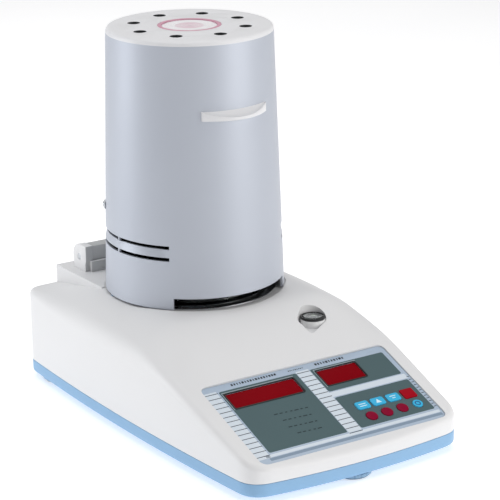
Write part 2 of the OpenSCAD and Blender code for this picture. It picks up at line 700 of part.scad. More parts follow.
module liner_screws() {
  color(steel) translate([0, hood_y, 0]) for (a = liner_screw_a) rotate(a) {
    translate([0, -hood_r(liner_screw_z + 4) + hood_t + 3, liner_screw_z]) rotate([90, 0, 0])
      cylinder(r = 1.35, h = hood_t + 3.5);
    translate([0, -hood_r(liner_screw_z - 4), liner_screw_z]) rotate([90, 0, 0]) {
      cylinder(r = 4, h = 1);
      intersection() {
        translate([0, 0, -2.2]) sphere(r = 4.6, $fn = 48);
        cylinder(r = 4, h = 4);
      }
    }
  }
}

// Small pieces of the base
module hood_buffers() {
  color(black) translate([0, hood_y, 0]) for (a = [100, 180, 260]) rotate(a) translate([0, -74.6, seat_z])
    cylinder(r = 2.2, h = hood_z - seat_z - 0.02);
}
module cover_screws() {
  color(steel) for (p = cover_screw_pos) translate([p[0], p[1], tray_z + 3 - 2.4]) difference() {
    union() {
      cylinder(r = 3.6, h = 2.4);
      cylinder(r = 1.68, h = 18);
    }
    translate([0, 0, 0]) cube([5, 0.8, 1.2], center = true);
    translate([0, 0, 0]) cube([0.8, 5, 1.2], center = true);
  }
}
module bracket_screws() {
  color(steel) for (p = bracket_screw_pos) translate([p[0], p[1], plinth_top - cover_t - 2.2]) {
    cylinder(r = 3.4, h = 2.2);
    cylinder(r = 1.55, h = 10.5);
  }
}
module cell_bolts() {
  color(steel) for (y = cell_bolt_y) translate([0, y, 0]) difference() {
    union() {
      translate([0, 0, cell_z + 24]) cylinder(r = 4.4, h = 4);
      translate([0, 0, 14]) cylinder(r = 2.5, h = cell_z + 12);
    }
    translate([0, 0, cell_z + 26]) cylinder(r = 2.2, h = 4, $fn = 6);
  }
}
foot_gap_z = 4.4;
module foot_pad(i) {
  color("#2C2E30") translate([foot_pos[i][0], foot_pos[i][1], 0]) {
    cylinder(r = 13.4, h = 1.7);
    cylinder(r = 2, h = 3.2);
  }
}
module foot_screw(i) {
  color("#3A3D42") translate([foot_pos[i][0], foot_pos[i][1], 0]) difference() {
    union() {
      translate([0, 0, 1.8]) cylinder(r = 15.4, h = foot_gap_z - 1.8);
      translate([0, 0, 1.8]) cylinder(r = stud_r, h = 16);
    }
    for (a = [0:20:340]) rotate(a) translate([15.9, 0, 1]) cylinder(r = 1.1, h = 5, $fn = 24);
    translate([0, 0, 1]) cylinder(r = 2.05, h = 2.5);
  }
}
module bubble_level_body() {
  color(black) translate([level_pos[0], level_pos[1], 0]) difference() {
    translate([0, 0, level_floor]) cylinder(r = 10.6, h = 8.2);
    translate([0, 0, level_floor + 2]) cylinder(r = 9, h = 10);
  }
}
module bubble_level_lens() {
  color("#A8C64A", 0.6) translate([level_pos[0], level_pos[1], 0]) {
    translate([0, 0, level_floor + 2]) cylinder(r = 9, h = 5);
    intersection() {
      translate([0, 0, level_floor - 14]) sphere(r = 23, $fn = 64);
      translate([0, 0, level_floor + 6.9]) cylinder(r = 9, h = 4);
    }
  }
}
module on_rear(x) {
  translate([x, rear_flat_y, rear_z]) children();
}
module power_inlet() {
  color(black) on_rear(inlet_x) difference() {
    union() {
      translate([-15.5, 0, -12]) cube([31, 2, 24]);
      translate([-13.6, -20, -10.1]) cube([27.2, 20.1, 20.2]);
    }
    translate([-12, -16, -8.2]) cube([24, 20, 16.4]);
  }
  color(steel) on_rear(inlet_x) for (p = [[-7, 0], [0, 3.5], [7, 0]])
    translate([p[0] - 1, -17, p[1] - 2.4]) cube([2, 15, 4.8]);
}
rocker_swing = 16;
module switch_housing() {
  color(black) on_rear(switch_x) difference() {
    union() {
      translate([-8.6, 0, -11.6]) cube([17.2, 2, 23.2]);
      translate([-6.7, -14, -9.7]) cube([13.4, 14.1, 19.4]);
    }
    translate([-5.4, -11, -8.6]) cube([10.8, 16, 17.2]);
    translate([-10, -3, 0]) rotate([0, 90, 0]) cylinder(r = 1, h = 20);
  }
}
module power_rocker() {
  color("#B01018") on_rear(switch_x) translate([0, -3, 0]) rotate([rocker_swing / 2, 0, 0]) {
    rotate([90, 0, 90]) translate([0, 0, -5.1]) linear_extrude(10.2)
      polygon([[-4, -4.5], [-4, 4.5], [4, 7.4], [6.2, 7.4], [4.8, 0], [6.2, -7.4], [4, -7.4]]);
    translate([-6.6, 0, 0]) rotate([0, 90, 0]) cylinder(r = 0.95, h = 13.2);
  }
}
module fuse_holder() {
  color(black) on_rear(fuse_x) rotate([-90, 0, 0]) difference() {
    union() {
      translate([0, 0, -22]) cylinder(r = 6, h = 22.1);
      cylinder(r = 9, h = 2);
    }
    translate([0, 0, -20]) cylinder(r = 4.2, h = 30);
  }
}
module fuse_cap() {
  color("#33363A") on_rear(fuse_x) rotate([-90, 0, 0]) {
    difference() {
      translate([0, 0, 2.1]) cylinder(r = 7.4, h = 3.6);
      translate([0, 0, 5.6]) cube([9, 1.4, 2], center = true);
    }
    translate([0, 0, -17]) cylinder(r = 3.4, h = 19.2);
  }
}
module serial_port() {
  color(steel) on_rear(serial_x) difference() {
    union() {
      translate([-15.4, 0, -6.2]) cube([30.8, 1, 12.4]);
      translate([-9.4, -9, -5]) cube([18.8, 9.1, 10]);
      translate([-8.6, 0.5, -4.2]) cube([17.2, 5.5, 8.4]);
    }
    translate([-8, 0, -3.6]) cube([16, 7, 7.2]);
  }
  color(steel) on_rear(serial_x) for (x = [-12.4, 12.4]) translate([x, 1, 0]) rotate([-90, 0, 0])
    cylinder(r = 2.6, h = 4, $fn = 6);
}

base_tray();
top_cover();
panel_overlay();
display_window(window_left);  // display_window_left
display_window(window_right);  // display_window_right
led_display(window_left, 6);  // led_display_left
led_display(window_right, 3);  // led_display_right
panel_board();
tact_switches();
main_board();
transformer();
load_cell();
load_cell_block();
weighing_spindle();
drying_chamber();
hinge_bracket();
hinge_pin();
bubble_level_body();
bubble_level_lens();
power_inlet();
switch_housing();
fuse_holder();
serial_port();
hood_buffers();
cover_screws();
bracket_screws();
cell_bolts();
power_rocker();
fuse_cap();
panel_key(0, 0);  // key_upper_1
panel_key(0, 1);  // key_upper_2
panel_key(0, 2);  // key_upper_3
panel_key(0, 3);  // key_upper_4
panel_key(1, 0);  // key_lower_1
panel_key(1, 1);  // key_lower_2
panel_key(1, 2);  // key_lower_3
panel_key(1, 3);  // key_lower_4
foot_pad(0);  // foot_pad_front
foot_pad(1);  // foot_pad_right
foot_pad(2);  // foot_pad_left
foot_screw(0);  // foot_screw_front
foot_screw(1);  // foot_screw_right
foot_screw(2);  // foot_screw_left
pan_support();
sample_pan();
wind_shield();
hood_shell();
top_cap();
window_glass();
window_ring();
hood_handle();
hinge_bar();
inner_liner();
lamp_bulb();
lamp_socket();
lamp_bracket();
lamp_guard();
temperature_probe();
hood_bolts();
liner_screws();
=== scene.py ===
import math

import bmesh
import bpy
from mathutils import Matrix, Vector


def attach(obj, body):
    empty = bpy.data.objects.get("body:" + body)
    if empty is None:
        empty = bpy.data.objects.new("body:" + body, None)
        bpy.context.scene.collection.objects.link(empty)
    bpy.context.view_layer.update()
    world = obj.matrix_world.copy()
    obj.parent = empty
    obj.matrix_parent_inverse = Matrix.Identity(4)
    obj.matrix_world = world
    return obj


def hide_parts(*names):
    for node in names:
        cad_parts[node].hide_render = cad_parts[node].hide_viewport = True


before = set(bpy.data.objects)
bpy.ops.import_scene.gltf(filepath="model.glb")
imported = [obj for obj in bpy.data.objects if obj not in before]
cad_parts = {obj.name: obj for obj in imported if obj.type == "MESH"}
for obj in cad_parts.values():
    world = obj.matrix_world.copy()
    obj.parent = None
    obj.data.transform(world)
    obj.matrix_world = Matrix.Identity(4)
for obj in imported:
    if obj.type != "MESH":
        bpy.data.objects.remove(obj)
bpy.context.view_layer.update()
print("frame loaded")

mm = 0.001


def linkNew(name, data):
    obj = bpy.data.objects.new(name, data)
    bpy.context.scene.collection.objects.link(obj)
    return obj


# Camera and lights

def aimAt(obj, target, roll=0.0):
    back = (obj.location - Vector(target)).normalized()
    across = Vector((0, 0, 1)).cross(back).normalized()
    up = back.cross(across)
    turnedAcross = across * math.cos(roll) + up * math.sin(roll)
    turnedUp = up * math.cos(roll) - across * math.sin(roll)
    obj.rotation_euler = Matrix((turnedAcross, turnedUp, back)).transposed().to_euler()


cameraSpec = {"place": (-0.9616, -1.4911, 0.6964), "target": (-0.01963, -0.05514, 0.16088),
              "lens": 159.84, "roll": -0.0145, "sensor": 36, "farEnd": 50}
cameraData = bpy.data.cameras.new("camera")
cameraData.lens = cameraSpec["lens"]
cameraData.sensor_width = cameraSpec["sensor"]
cameraData.clip_end = cameraSpec["farEnd"]
camera = linkNew("camera", cameraData)
camera.location = cameraSpec["place"]
aimAt(camera, cameraSpec["target"], cameraSpec["roll"])
bpy.context.scene.camera = camera

studioSpec = {"aim": (0, 0, 0.12), "world": (1.0, 1.0, 1.0, 1.0), "strength": 0.3}
lights = {
    "leftSoft": {"place": (-1.55, 1.15, 0.6), "size": (0.8, 1.1), "watts": 14, "tint": (0.96, 0.98, 1.0)},
    "rightSoft": {"place": (1.0, -1.55, 0.6), "size": (1.2, 1.1), "watts": 16, "tint": (1.0, 0.99, 0.97)},
    "topSoft": {"place": (0.0, 0.1, 1.7), "size": (1.8, 1.8), "watts": 16, "tint": (1.0, 1.0, 1.0)},
    "rearFill": {"place": (0.6, 1.7, 0.9), "size": (1.4, 1.0), "watts": 1.8, "tint": (1.0, 1.0, 1.0)},
}
for name, spec in lights.items():
    lightData = bpy.data.lights.new(name, "AREA")
    lightData.shape = "RECTANGLE"
    lightData.size, lightData.size_y = spec["size"]
    lightData.energy = spec["watts"]
    lightData.color = spec["tint"]
    lamp = linkNew(name, lightData)
    lamp.location = spec["place"]
    aimAt(lamp, studioSpec["aim"])

world = bpy.data.worlds.new("studio")
world.use_nodes = True
world.node_tree.nodes["Background"].inputs["Color"].default_value = studioSpec["world"]
world.node_tree.nodes["Background"].inputs["Strength"].default_value = studioSpec["strength"]
bpy.context.scene.world = world
bpy.context.scene.view_settings.view_transform = "Standard"
print("camera and lights")


# Materials

def linear(hexCode):
    channels = [int(hexCode[i:i + 2], 16) / 255 for i in (1, 3, 5)]
    return tuple(c / 12.92 if c <= 0.04045 else ((c + 0.055) / 1.055) ** 2.4 for c in channels) + (1.0,)


# Scale and detail of the noises; the fine one takes its scale from the material
noiseSpec = {"broad": (9.0, 3.0), "smudge": (26.0, 4.0), "fineDetail": 2.0, "fineShare": 0.35, "middle": 0.5}


def buildSurfaceGroup():
    # Colour, roughness and height of a worn, slightly uneven surface
    group = bpy.data.node_groups.new("surfaceVariation", "ShaderNodeTree")
    sockets = [("Base", "NodeSocketColor", (0.8, 0.8, 0.8, 1)),
               ("Shade", "NodeSocketColor", (0.7, 0.7, 0.7, 1)),
               ("Roughness", "NodeSocketFloat", 0.4), ("Mottle", "NodeSocketFloat", 0.1),
               ("Grain Scale", "NodeSocketFloat", 900.0), ("Grain", "NodeSocketFloat", 0.3),
               ("Smudge", "NodeSocketFloat", 0.08), ("Stretch", "NodeSocketVector", (1, 1, 1))]
    for label, kind, value in sockets:
        socket = group.interface.new_socket(label, in_out="INPUT", socket_type=kind)
        socket.default_value = value
    outputs = {"Color": "NodeSocketColor", "Roughness": "NodeSocketFloat", "Height": "NodeSocketFloat"}
    for label, kind in outputs.items():
        group.interface.new_socket(label, in_out="OUTPUT", socket_type=kind)
    nodes, links = group.nodes, group.links
    inlet = nodes.new("NodeGroupInput")
    outlet = nodes.new("NodeGroupOutput")
    coords = nodes.new("ShaderNodeTexCoord")
    stretch = nodes.new("ShaderNodeVectorMath")
    stretch.operation = "MULTIPLY"
    links.new(coords.outputs["Object"], stretch.inputs[0])
    links.new(inlet.outputs["Stretch"], stretch.inputs[1])

    def noise(scale, detail, source):
        node = nodes.new("ShaderNodeTexNoise")
        node.inputs["Detail"].default_value = detail
        if isinstance(scale, float):
            node.inputs["Scale"].default_value = scale
        else:
            links.new(scale, node.inputs["Scale"])
        links.new(source, node.inputs["Vector"])
        return node.outputs["Fac"]

    def calc(operation, a, b):
        node = nodes.new("ShaderNodeMath")
        node.operation = operation
        for i, value in enumerate((a, b)):
            if isinstance(value, float):
                node.inputs[i].default_value = value
            else:
                links.new(value, node.inputs[i])
        return node.outputs[0]

    broad = noise(*noiseSpec["broad"], coords.outputs["Object"])
    fine = noise(inlet.outputs["Grain Scale"], noiseSpec["fineDetail"], stretch.outputs[0])
    smudge = noise(*noiseSpec["smudge"], coords.outputs["Object"])
    mixed = nodes.new("ShaderNodeMix")
    mixed.data_type = "RGBA"
    patchy = calc("ADD", broad, calc("MULTIPLY", fine, noiseSpec["fineShare"]))
    links.new(calc("MULTIPLY", patchy, inlet.outputs["Mottle"]), mixed.inputs["Factor"])
    links.new(inlet.outputs["Base"], mixed.inputs[6])
    links.new(inlet.outputs["Shade"], mixed.inputs[7])
    links.new(mixed.outputs[2], outlet.inputs["Color"])
    swing = calc("MULTIPLY", calc("SUBTRACT", smudge, noiseSpec["middle"]), inlet.outputs["Smudge"])
    links.new(calc("ADD", inlet.outputs["Roughness"], swing), outlet.inputs["Roughness"])
    links.new(calc("MULTIPLY", fine, inlet.outputs["Grain"]), outlet.inputs["Height"])
    return group


variation = buildSurfaceGroup()


def makeMaterial(name, base, shade, rough, mottle, grainScale, grain, bump,
                 metal=0.0, stretch=(1, 1, 1), coat=0.0, transmission=0.0, specular=0.5):
    material = bpy.data.materials.new(name)
    material.use_nodes = True
    nodes, links = material.node_tree.nodes, material.node_tree.links
    shader = nodes["Principled BSDF"]
    group = nodes.new("ShaderNodeGroup")
    group.node_tree = variation
    bumpNode = nodes.new("ShaderNodeBump")
    links.new(group.outputs["Color"], shader.inputs["Base Color"])
    links.new(group.outputs["Roughness"], shader.inputs["Roughness"])
    links.new(group.outputs["Height"], bumpNode.inputs["Height"])
    links.new(bumpNode.outputs["Normal"], shader.inputs["Normal"])
    surface = {"Base": linear(base), "Shade": linear(shade), "Roughness": rough, "Mottle": mottle,
               "Grain Scale": grainScale, "Grain": grain, "Smudge": 0.08, "Stretch": stretch}
    plain = {"Metallic": metal, "Coat Weight": coat, "Coat Roughness": 0.08,
             "Transmission Weight": transmission, "Specular IOR Level": specular, "IOR": 1.45}
    relief = {"Strength": bump, "Distance": 0.0004}
    for node, values in ((group, surface), (shader, plain), (bumpNode, relief)):
        for label, value in values.items():
            node.inputs[label].default_value = value
    return material


# Base and shade colour, roughness, mottle, grain scale, grain, bump, and what is unusual about it
finishSpecs = {
    "coverPaint": ("#E4E4E5", "#D9D9DB", 0.4, 0.35, 1400, 0.5, 0.05, {}),
    "hoodPaint": ("#B8BDC7", "#A9AEB9", 0.44, 0.35, 1500, 0.5, 0.05, {"metal": 0.3}),
    "capPaint": ("#E0E0E2", "#D1D1D5", 0.42, 0.3, 1400, 0.5, 0.05, {}),
    "trayPaint": ("#8DB6DA", "#79A3CB", 0.42, 0.3, 1200, 0.5, 0.06, {}),
    "foil": ("#B4C3D4", "#9DAFC4", 0.38, 0.5, 1600, 0.4, 0.05, {}),
    "slatePrint": ("#50676A", "#43575C", 0.5, 0.6, 1800, 0.4, 0.04, {"specular": 0.3}),
    "palePrint": ("#DCE4EC", "#C4D0DC", 0.42, 0.5, 1800, 0.3, 0.03, {}),
    "linePrint": ("#2C3742", "#212A34", 0.5, 0.4, 1500, 0.3, 0.03, {"specular": 0.3}),
    "markPrint": ("#272F38", "#1C232A", 0.5, 0.4, 1500, 0.3, 0.03, {"specular": 0.3}),
    "faintPrint": ("#2B3B40", "#233135", 0.5, 0.4, 1500, 0.3, 0.03, {"specular": 0.3}),
    "blackTrim": ("#15171A", "#0C0D0F", 0.35, 0.4, 1200, 0.6, 0.1, {}),
    # Painted highlight along the top and left edges of the windows
    "bevelPrint": ("#A8B4BC", "#8E9BA4", 0.4, 0.3, 1200, 0.3, 0.04, {}),
    "redFilter": ("#8A0412", "#70020C", 0.45, 0.6, 300, 0.05, 0.02, {"specular": 0.03}),
    "cyanKey": ("#3DB9E4", "#2AA0D0", 0.42, 0.4, 1000, 0.3, 0.05, {"specular": 0.3}),
    "redKey": ("#A8001A", "#860012", 0.5, 0.4, 1000, 0.3, 0.05, {"specular": 0.08}),
    "crimsonKey": ("#8E0430", "#700222", 0.5, 0.4, 1000, 0.3, 0.05, {"specular": 0.08}),
    "keyMark": ("#DDF4FB", "#C2E6F2", 0.4, 0.3, 900, 0.2, 0.03, {}),
    "ringMark": ("#1C4A86", "#163C70", 0.4, 0.3, 900, 0.2, 0.03, {}),
    "brushedSteel": ("#C5C8CC", "#A6AAAF", 0.28, 0.5, 700, 0.7, 0.12,
                     {"metal": 1.0, "stretch": (1, 1, 0.05)}),
    "spunAlloy": ("#D3D6DA", "#BCC0C5", 0.25, 0.4, 800, 0.5, 0.08, {"metal": 1.0, "stretch": (1, 1, 0.1)}),
    "linerSteel": ("#C8CACE", "#A8ABB0", 0.2, 0.5, 500, 0.5, 0.08, {"metal": 1.0, "stretch": (1, 1, 0.04)}),
    "moulded": ("#25272A", "#191B1D", 0.5, 0.4, 1500, 0.8, 0.15, {}),
    "rubberFoot": ("#8398AA", "#6F8598", 0.75, 0.5, 1100, 0.9, 0.2, {}),
    "rockerRed": ("#B11420", "#930C18", 0.3, 0.3, 900, 0.3, 0.05, {"coat": 0.2}),
    "porcelain": ("#EFEAE0", "#DED7C9", 0.22, 0.5, 500, 0.3, 0.05, {"coat": 0.4}),
    "boardGreen": ("#2B6A40", "#1E5231", 0.4, 0.6, 600, 0.5, 0.1, {}),
    "castAlloy": ("#B9BBBF", "#9EA1A6", 0.4, 0.5, 900, 0.7, 0.15, {"metal": 1.0}),
    "coreSteel": ("#595C60", "#45484C", 0.5, 0.5, 700, 0.8, 0.2, {"metal": 0.6, "stretch": (1, 0.1, 1)}),
    "levelFluid": ("#23301F", "#172112", 0.08, 0.5, 200, 0.05, 0.02, {"coat": 0.8}),
    "levelBubble": ("#D8E2C4", "#C3CFAE", 0.08, 0.3, 200, 0.05, 0.02, {"coat": 0.8}),
    "clearGlass": ("#F4F8FA", "#E9F1F5", 0.04, 0.2, 120, 0.05, 0.01, {"transmission": 1.0}),
    "pinkGlass": ("#E6D3DB", "#D8BCC8", 0.16, 0.7, 160, 0.1, 0.03, {"coat": 0.5}),
    "pinkRim": ("#CE93A8", "#B97A91", 0.35, 0.5, 700, 0.3, 0.04, {}),
    "frostGlass": ("#F2F1F3", "#E4DEE3", 0.18, 0.5, 160, 0.1, 0.03, {"coat": 0.5}),
    # Painted shade for the lower edge of the facing, where it curves down
    "shadePrint": ("#8799AC", "#76899E", 0.42, 0.5, 1800, 0.3, 0.03, {}),
    "footPlastic": ("#8FB0CC", "#7E9FBB", 0.5, 0.5, 1100, 0.6, 0.1, {}),
    # Painted shade: a flat black without reflections on the liner's outer faces, for the dark inside of the
    # hood seen through the slots and the front gap
    "linerShadowBlack": ("#0B0C0D", "#050506", 0.85, 0.5, 900, 0.6, 0.1, {"specular": 0.05}),
    # Grey of the hinge bar, with the shade behind the hood painted in; it also paints shade on the front of
    # the hinge bracket
    "hingeShadeGrey": ("#B8B9B9", "#A7A8A8", 0.5, 0.4, 1100, 0.5, 0.06, {}),
    # Painted shade inside the vent holes of the cap; on the liner top, seen through the vents, it is painted
    # shade and also the dark colour of a heat shield
    "ventShade": ("#3A3C3E", "#2B2D2F", 0.6, 0.6, 700, 0.5, 0.08, {}),
    "bulbGlass": ("#E2B5AC", "#CC8F86", 0.18, 0.6, 300, 0.2, 0.04, {"coat": 0.6}),
}
finishes = {name: makeMaterial(name, *usual, **unusual) for name, (*usual, unusual) in finishSpecs.items()}

floorSpec = {"reach": 30.0, "patch": 3.0, "low": (0.8, 0.8, 0.805, 1), "high": (0.83, 0.83, 0.835, 1),
             "glow": 0.6, "rough": 0.9}


def makeFloor():
    material = bpy.data.materials.new("paleFloor")
    material.use_nodes = True
    nodes, links = material.node_tree.nodes, material.node_tree.links
    shader = nodes["Principled BSDF"]
    coords = nodes.new("ShaderNodeTexCoord")
    noise = nodes.new("ShaderNodeTexNoise")
    noise.inputs["Scale"].default_value = floorSpec["patch"]
    ramp = nodes.new("ShaderNodeValToRGB")
    ramp.color_ramp.elements[0].color = floorSpec["low"]
    ramp.color_ramp.elements[1].color = floorSpec["high"]
    links.new(coords.outputs["Object"], noise.inputs["Vector"])
    links.new(noise.outputs["Fac"], ramp.inputs["Fac"])
    links.new(ramp.outputs["Color"], shader.inputs["Base Color"])
    links.new(ramp.outputs["Color"], shader.inputs["Emission Color"])
    shader.inputs["Emission Strength"].default_value = floorSpec["glow"]
    shader.inputs["Roughness"].default_value = floorSpec["rough"]
    reach = floorSpec["reach"]
    corners = [(-reach, -reach, 0), (reach, -reach, 0), (reach, reach, 0), (-reach, reach, 0)]
    mesh = bpy.data.meshes.new("floor")
    mesh.from_pydata(corners, [], [(0, 1, 2, 3)])
    mesh.materials.append(material)
    linkNew("floor", mesh)


makeFloor()
print("materials")


# Mesh helpers

def sharpen(mesh, angle):
    # Smooth shading with hard edges above the angle
    build = bmesh.new()
    build.from_mesh(mesh)
    for face in build.faces:
        face.smooth = True
    for edge in build.edges:
        edge.smooth = len(edge.link_faces) == 2 and edge.calc_face_angle(0) < math.radians(angle)
    build.to_mesh(mesh)
    build.free()


def newObject(name, points, faces, material=None, angle=35):
    mesh = bpy.data.meshes.new(name)
    mesh.from_pydata([(x * mm, y * mm, z * mm) for x, y, z in points], [], faces)
    mesh.update()
    obj = linkNew(name, mesh)
    if material:
        mesh.materials.append(finishes[material])
    if angle:
        sharpen(mesh, angle)
    return obj


def recalc(obj):
    build = bmesh.new()
    build.from_mesh(obj.data)
    bmesh.ops.recalc_face_normals(build, faces=build.faces)
    build.to_mesh(obj.data)
    build.free()


def dress(obj, material, angle):
    obj.data.materials.clear()
    obj.data.materials.append(finishes[material])
    for face in obj.data.polygons:
        face.material_index = 0
    sharpen(obj.data, angle)


def applyModifiers(obj):
    graph = bpy.context.evaluated_depsgraph_get()
    fresh = bpy.data.meshes.new_from_object(obj.evaluated_get(graph))
    stale = obj.data
    obj.modifiers.clear()
    obj.data = fresh
    bpy.data.meshes.remove(stale)


def cut(obj, cutter, operation="DIFFERENCE"):
    modifier = obj.modifiers.new("cut", "BOOLEAN")
    modifier.operation = operation
    modifier.solver = "EXACT"
    modifier.object = cutter
    applyModifiers(obj)
    bpy.data.objects.remove(cutter)


def joined(name, objects):
    build = bmesh.new()
    for obj in objects:
        build.from_mesh(obj.data)
    mesh = bpy.data.meshes.new(name)
    build.to_mesh(mesh)
    build.free()
    mesh.materials.clear()
    for obj in objects:
        bpy.data.objects.remove(obj)
    return linkNew(name, mesh)


def prism(name, loop, z0, z1, matrix=None):
    n = len(loop)
    points = [(x, y, z0) for x, y in loop] + [(x, y, z1) for x, y in loop]
    faces = [tuple(range(n))[::-1], tuple(range(n, 2 * n))]
    faces += [(i, (i + 1) % n, n + (i + 1) % n, n + i) for i in range(n)]
    obj = newObject(name, points, faces, None, 30)
    if matrix:
        obj.data.transform(matrix)
    return obj


def roundRect(u, v, w, h, r, steps=6):
    loop = []
    for cx, cy, start in ((1, 1, 0), (-1, 1, 90), (-1, -1, 180), (1, -1, 270)):
        for i in range(steps + 1):
            a = math.radians(start + 90 * i / steps)
            loop.append((u + cx * (w / 2 - r) + r * math.cos(a), v + cy * (h / 2 - r) + r * math.sin(a)))
    return loop


def lathe(name, profile, centre, segments, material=None, angle=30):
    # The profile is a closed loop of (radius, height)
    points, faces, index = [], [], []
    for r, z in profile:
        if r < 1e-6:
            index.append([len(points)] * segments)
            points.append((centre[0], centre[1], z))
        else:
            index.append([len(points) + i for i in range(segments)])
            turns = [2 * math.pi * i / segments for i in range(segments)]
            points += [(centre[0] + r * math.cos(a), centre[1] + r * math.sin(a), z) for a in turns]
    count = len(profile)
    for k in range(count):
        a, b = index[k], index[(k + 1) % count]
        if a[0] == a[1] and b[0] == b[1]:
            continue
        for i in range(segments):
            j = (i + 1) % segments
            corners = [a[i], a[j], b[j], b[i]]
            corners = [c for n, c in enumerate(corners) if c not in corners[:n]]
            if len(corners) > 2:
                faces.append(tuple(corners))
    obj = newObject(name, points, faces, material, angle)
    recalc(obj)
    return obj


# Panel frame: u to the right, v down the slope, w out of the facing
panelSpec = {"y": -82.6, "z": 65.7, "slope": 0.3794}
panelAngle = math.atan(panelSpec["slope"])
panelShift = Matrix.Translation((0, panelSpec["y"] * mm, panelSpec["z"] * mm))
panelMatrix = panelShift @ Matrix.Rotation(panelAngle, 4, "X")


def panelPrism(name, loop, w0, w1):
    obj = prism(name, [(u, -v) for u, v in reversed(loop)], w0, w1, panelMatrix)
    recalc(obj)
    return obj


def plate(name, u0, u1, v0, v1, w0, w1, r):
    return panelPrism(name, roundRect((u0 + u1) / 2, (v0 + v1) / 2, u1 - u0, v1 - v0, r), w0, w1)


def place(obj, body, slotName, *nodes):
    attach(obj, body)
    if nodes:
        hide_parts(*nodes)


# Base outline and deck heights, the same shape as the CAD

base = {"l": 372.4, "w": 218.4, "seam": 16.3, "deck": 98.4, "sideBow": 6.6, "frontBow": 8.4, "rearBow": 4.4,
        "frontR": 18, "rearR": 13, "frontTip": 0.4, "rearTip": 0.2, "coreIn": 28, "corePull": 0.15,
        "middle": (0.03, 0.8), "hoodY": 62.15}
outlineSteps = {"front": 16, "corner": 14, "side": 52}
deckSpec = {"crown": 0.6, "rearSlope": 0.19, "rearFrom": 92, "frontSlope": 0.5, "frontFrom": -20,
            "panelRise": 0.5, "edge": 81.5, "edgeDrop": 8.5, "edgeFrom": 70, "edgeRun": 130, "edgeLift": 1.5,
            "flatHalf": 66, "sidePower": 1.6, "filletMid": 9.5, "filletEnd": 4, "filletRun": 180}
halfL, halfW = base["l"] / 2, base["w"] / 2
cornerX = halfW - base["sideBow"]


def mix(a, b, t):
    return a + (b - a) * t


def softMin(a, b, k):
    return (a + b - math.sqrt((a - b) ** 2 + k * k)) / 2


def softMax(a, b, k):
    return (a + b + math.sqrt((a - b) ** 2 + k * k)) / 2


def sideX(y):
    return halfW - base["sideBow"] * (y / (halfL - base["frontBow"])) ** 2


def frontY(x):
    return -halfL + base["frontBow"] * (x / cornerX) ** 2


def rearY(x):
    return halfL - base["rearBow"] * (x / cornerX) ** 2


def bend(a, b, c):
    steps = outlineSteps["corner"]
    turns = [i / steps for i in range(steps + 1)]
    return [tuple(a[k] * (1 - t) ** 2 + b[k] * 2 * t * (1 - t) + c[k] * t * t for k in (0, 1)) for t in turns]


def outlinePoints():
    frontSteps, sideSteps = outlineSteps["front"], outlineSteps["side"]
    frontSide = -halfL + base["frontBow"] + base["frontR"]
    rearSide = halfL - base["rearBow"] - base["rearR"]
    frontEdge, rearEdge = cornerX - base["frontR"], cornerX - base["rearR"]
    half = [(frontEdge * i / frontSteps, frontY(frontEdge * i / frontSteps)) for i in range(frontSteps)]
    half += bend((frontEdge, frontY(frontEdge)), (cornerX + base["frontTip"], frontY(cornerX)),
                 (sideX(frontSide), frontSide))
    for i in range(1, sideSteps):
        y = mix(frontSide, rearSide, i / sideSteps)
        half.append((sideX(y), y))
    half += bend((sideX(rearSide), rearSide), (cornerX + base["rearTip"], rearY(cornerX)),
                 (rearEdge, rearY(rearEdge)))
    for i in range(1, frontSteps + 1):
        x = rearEdge * (1 - i / frontSteps)
        half.append((x, rearY(x)))
    return half + [(-x, y) for x, y in reversed(half[1:-1])], len(half)


outline, halfCount = outlinePoints()
rimCount = len(outline)
coreX = cornerX - base["coreIn"]
coreY = halfL - base["rearBow"] - base["coreIn"]


def corePoint(p):
    cx, cy = max(-coreX, min(coreX, p[0])), max(-coreY, min(coreY, p[1]))
    return (mix(cx, p[0], base["corePull"]), mix(cy, p[1], base["corePull"]))


def inward(p, d):
    c = corePoint(p)
    gap = math.hypot(c[0] - p[0], c[1] - p[1])
    return (p[0] + (c[0] - p[0]) / gap * d, p[1] + (c[1] - p[1]) / gap * d)


def insetRing(d, z):
    return [(*inward(p, d), z) for p in outline]


def panelPlane(y):
    return panelSpec["z"] + deckSpec["panelRise"] + panelSpec["slope"] * (y - panelSpec["y"])


def middleZ(y):
    rear = base["deck"] + deckSpec["rearSlope"] * (deckSpec["rearFrom"] - y)
    front = base["deck"] + deckSpec["frontSlope"] * (y - deckSpec["frontFrom"])
    flat = softMin(base["deck"] + deckSpec["crown"], rear, 1)
    return softMin(flat, softMax(front, panelPlane(y), 2), 3)


def edgeZ(y):
    fall = deckSpec["edgeDrop"] * (max(0, deckSpec["edgeFrom"] - y) / deckSpec["edgeRun"]) ** 2
    return softMin(deckSpec["edge"] - fall, panelPlane(y) + deckSpec["edgeLift"], 5)


def deckZ(x, y):
    reach = max(0, abs(x) - deckSpec["flatHalf"]) / (sideX(y) - deckSpec["flatHalf"])
    middle = middleZ(y)
    return mix(middle, min(edgeZ(y), middle + deckSpec["edgeLift"]), reach ** deckSpec["sidePower"])


def edgeR(y):
    return mix(deckSpec["filletMid"], deckSpec["filletEnd"], min(1, abs(y) / deckSpec["filletRun"]) ** 4)


def ringFaces(rings, flip=False):
    faces = []
    for k in range(rings - 1):
        for i in range(rimCount):
            j = (i + 1) % rimCount
            face = (k * rimCount + i, k * rimCount + j, (k + 1) * rimCount + j, (k + 1) * rimCount + i)
            faces.append(face[::-1] if flip else face)
    return faces


def capFaces(start, flip=False):
    faces = []
    for i in range(halfCount - 1):
        across = (rimCount - i) % rimCount
        corners = [start + i, start + i + 1, start + (rimCount - i - 1) % rimCount, start + across]
        corners = [c for n, c in enumerate(corners) if c not in corners[:n]]
        faces.append(tuple(corners[::-1] if flip else corners))
    return faces


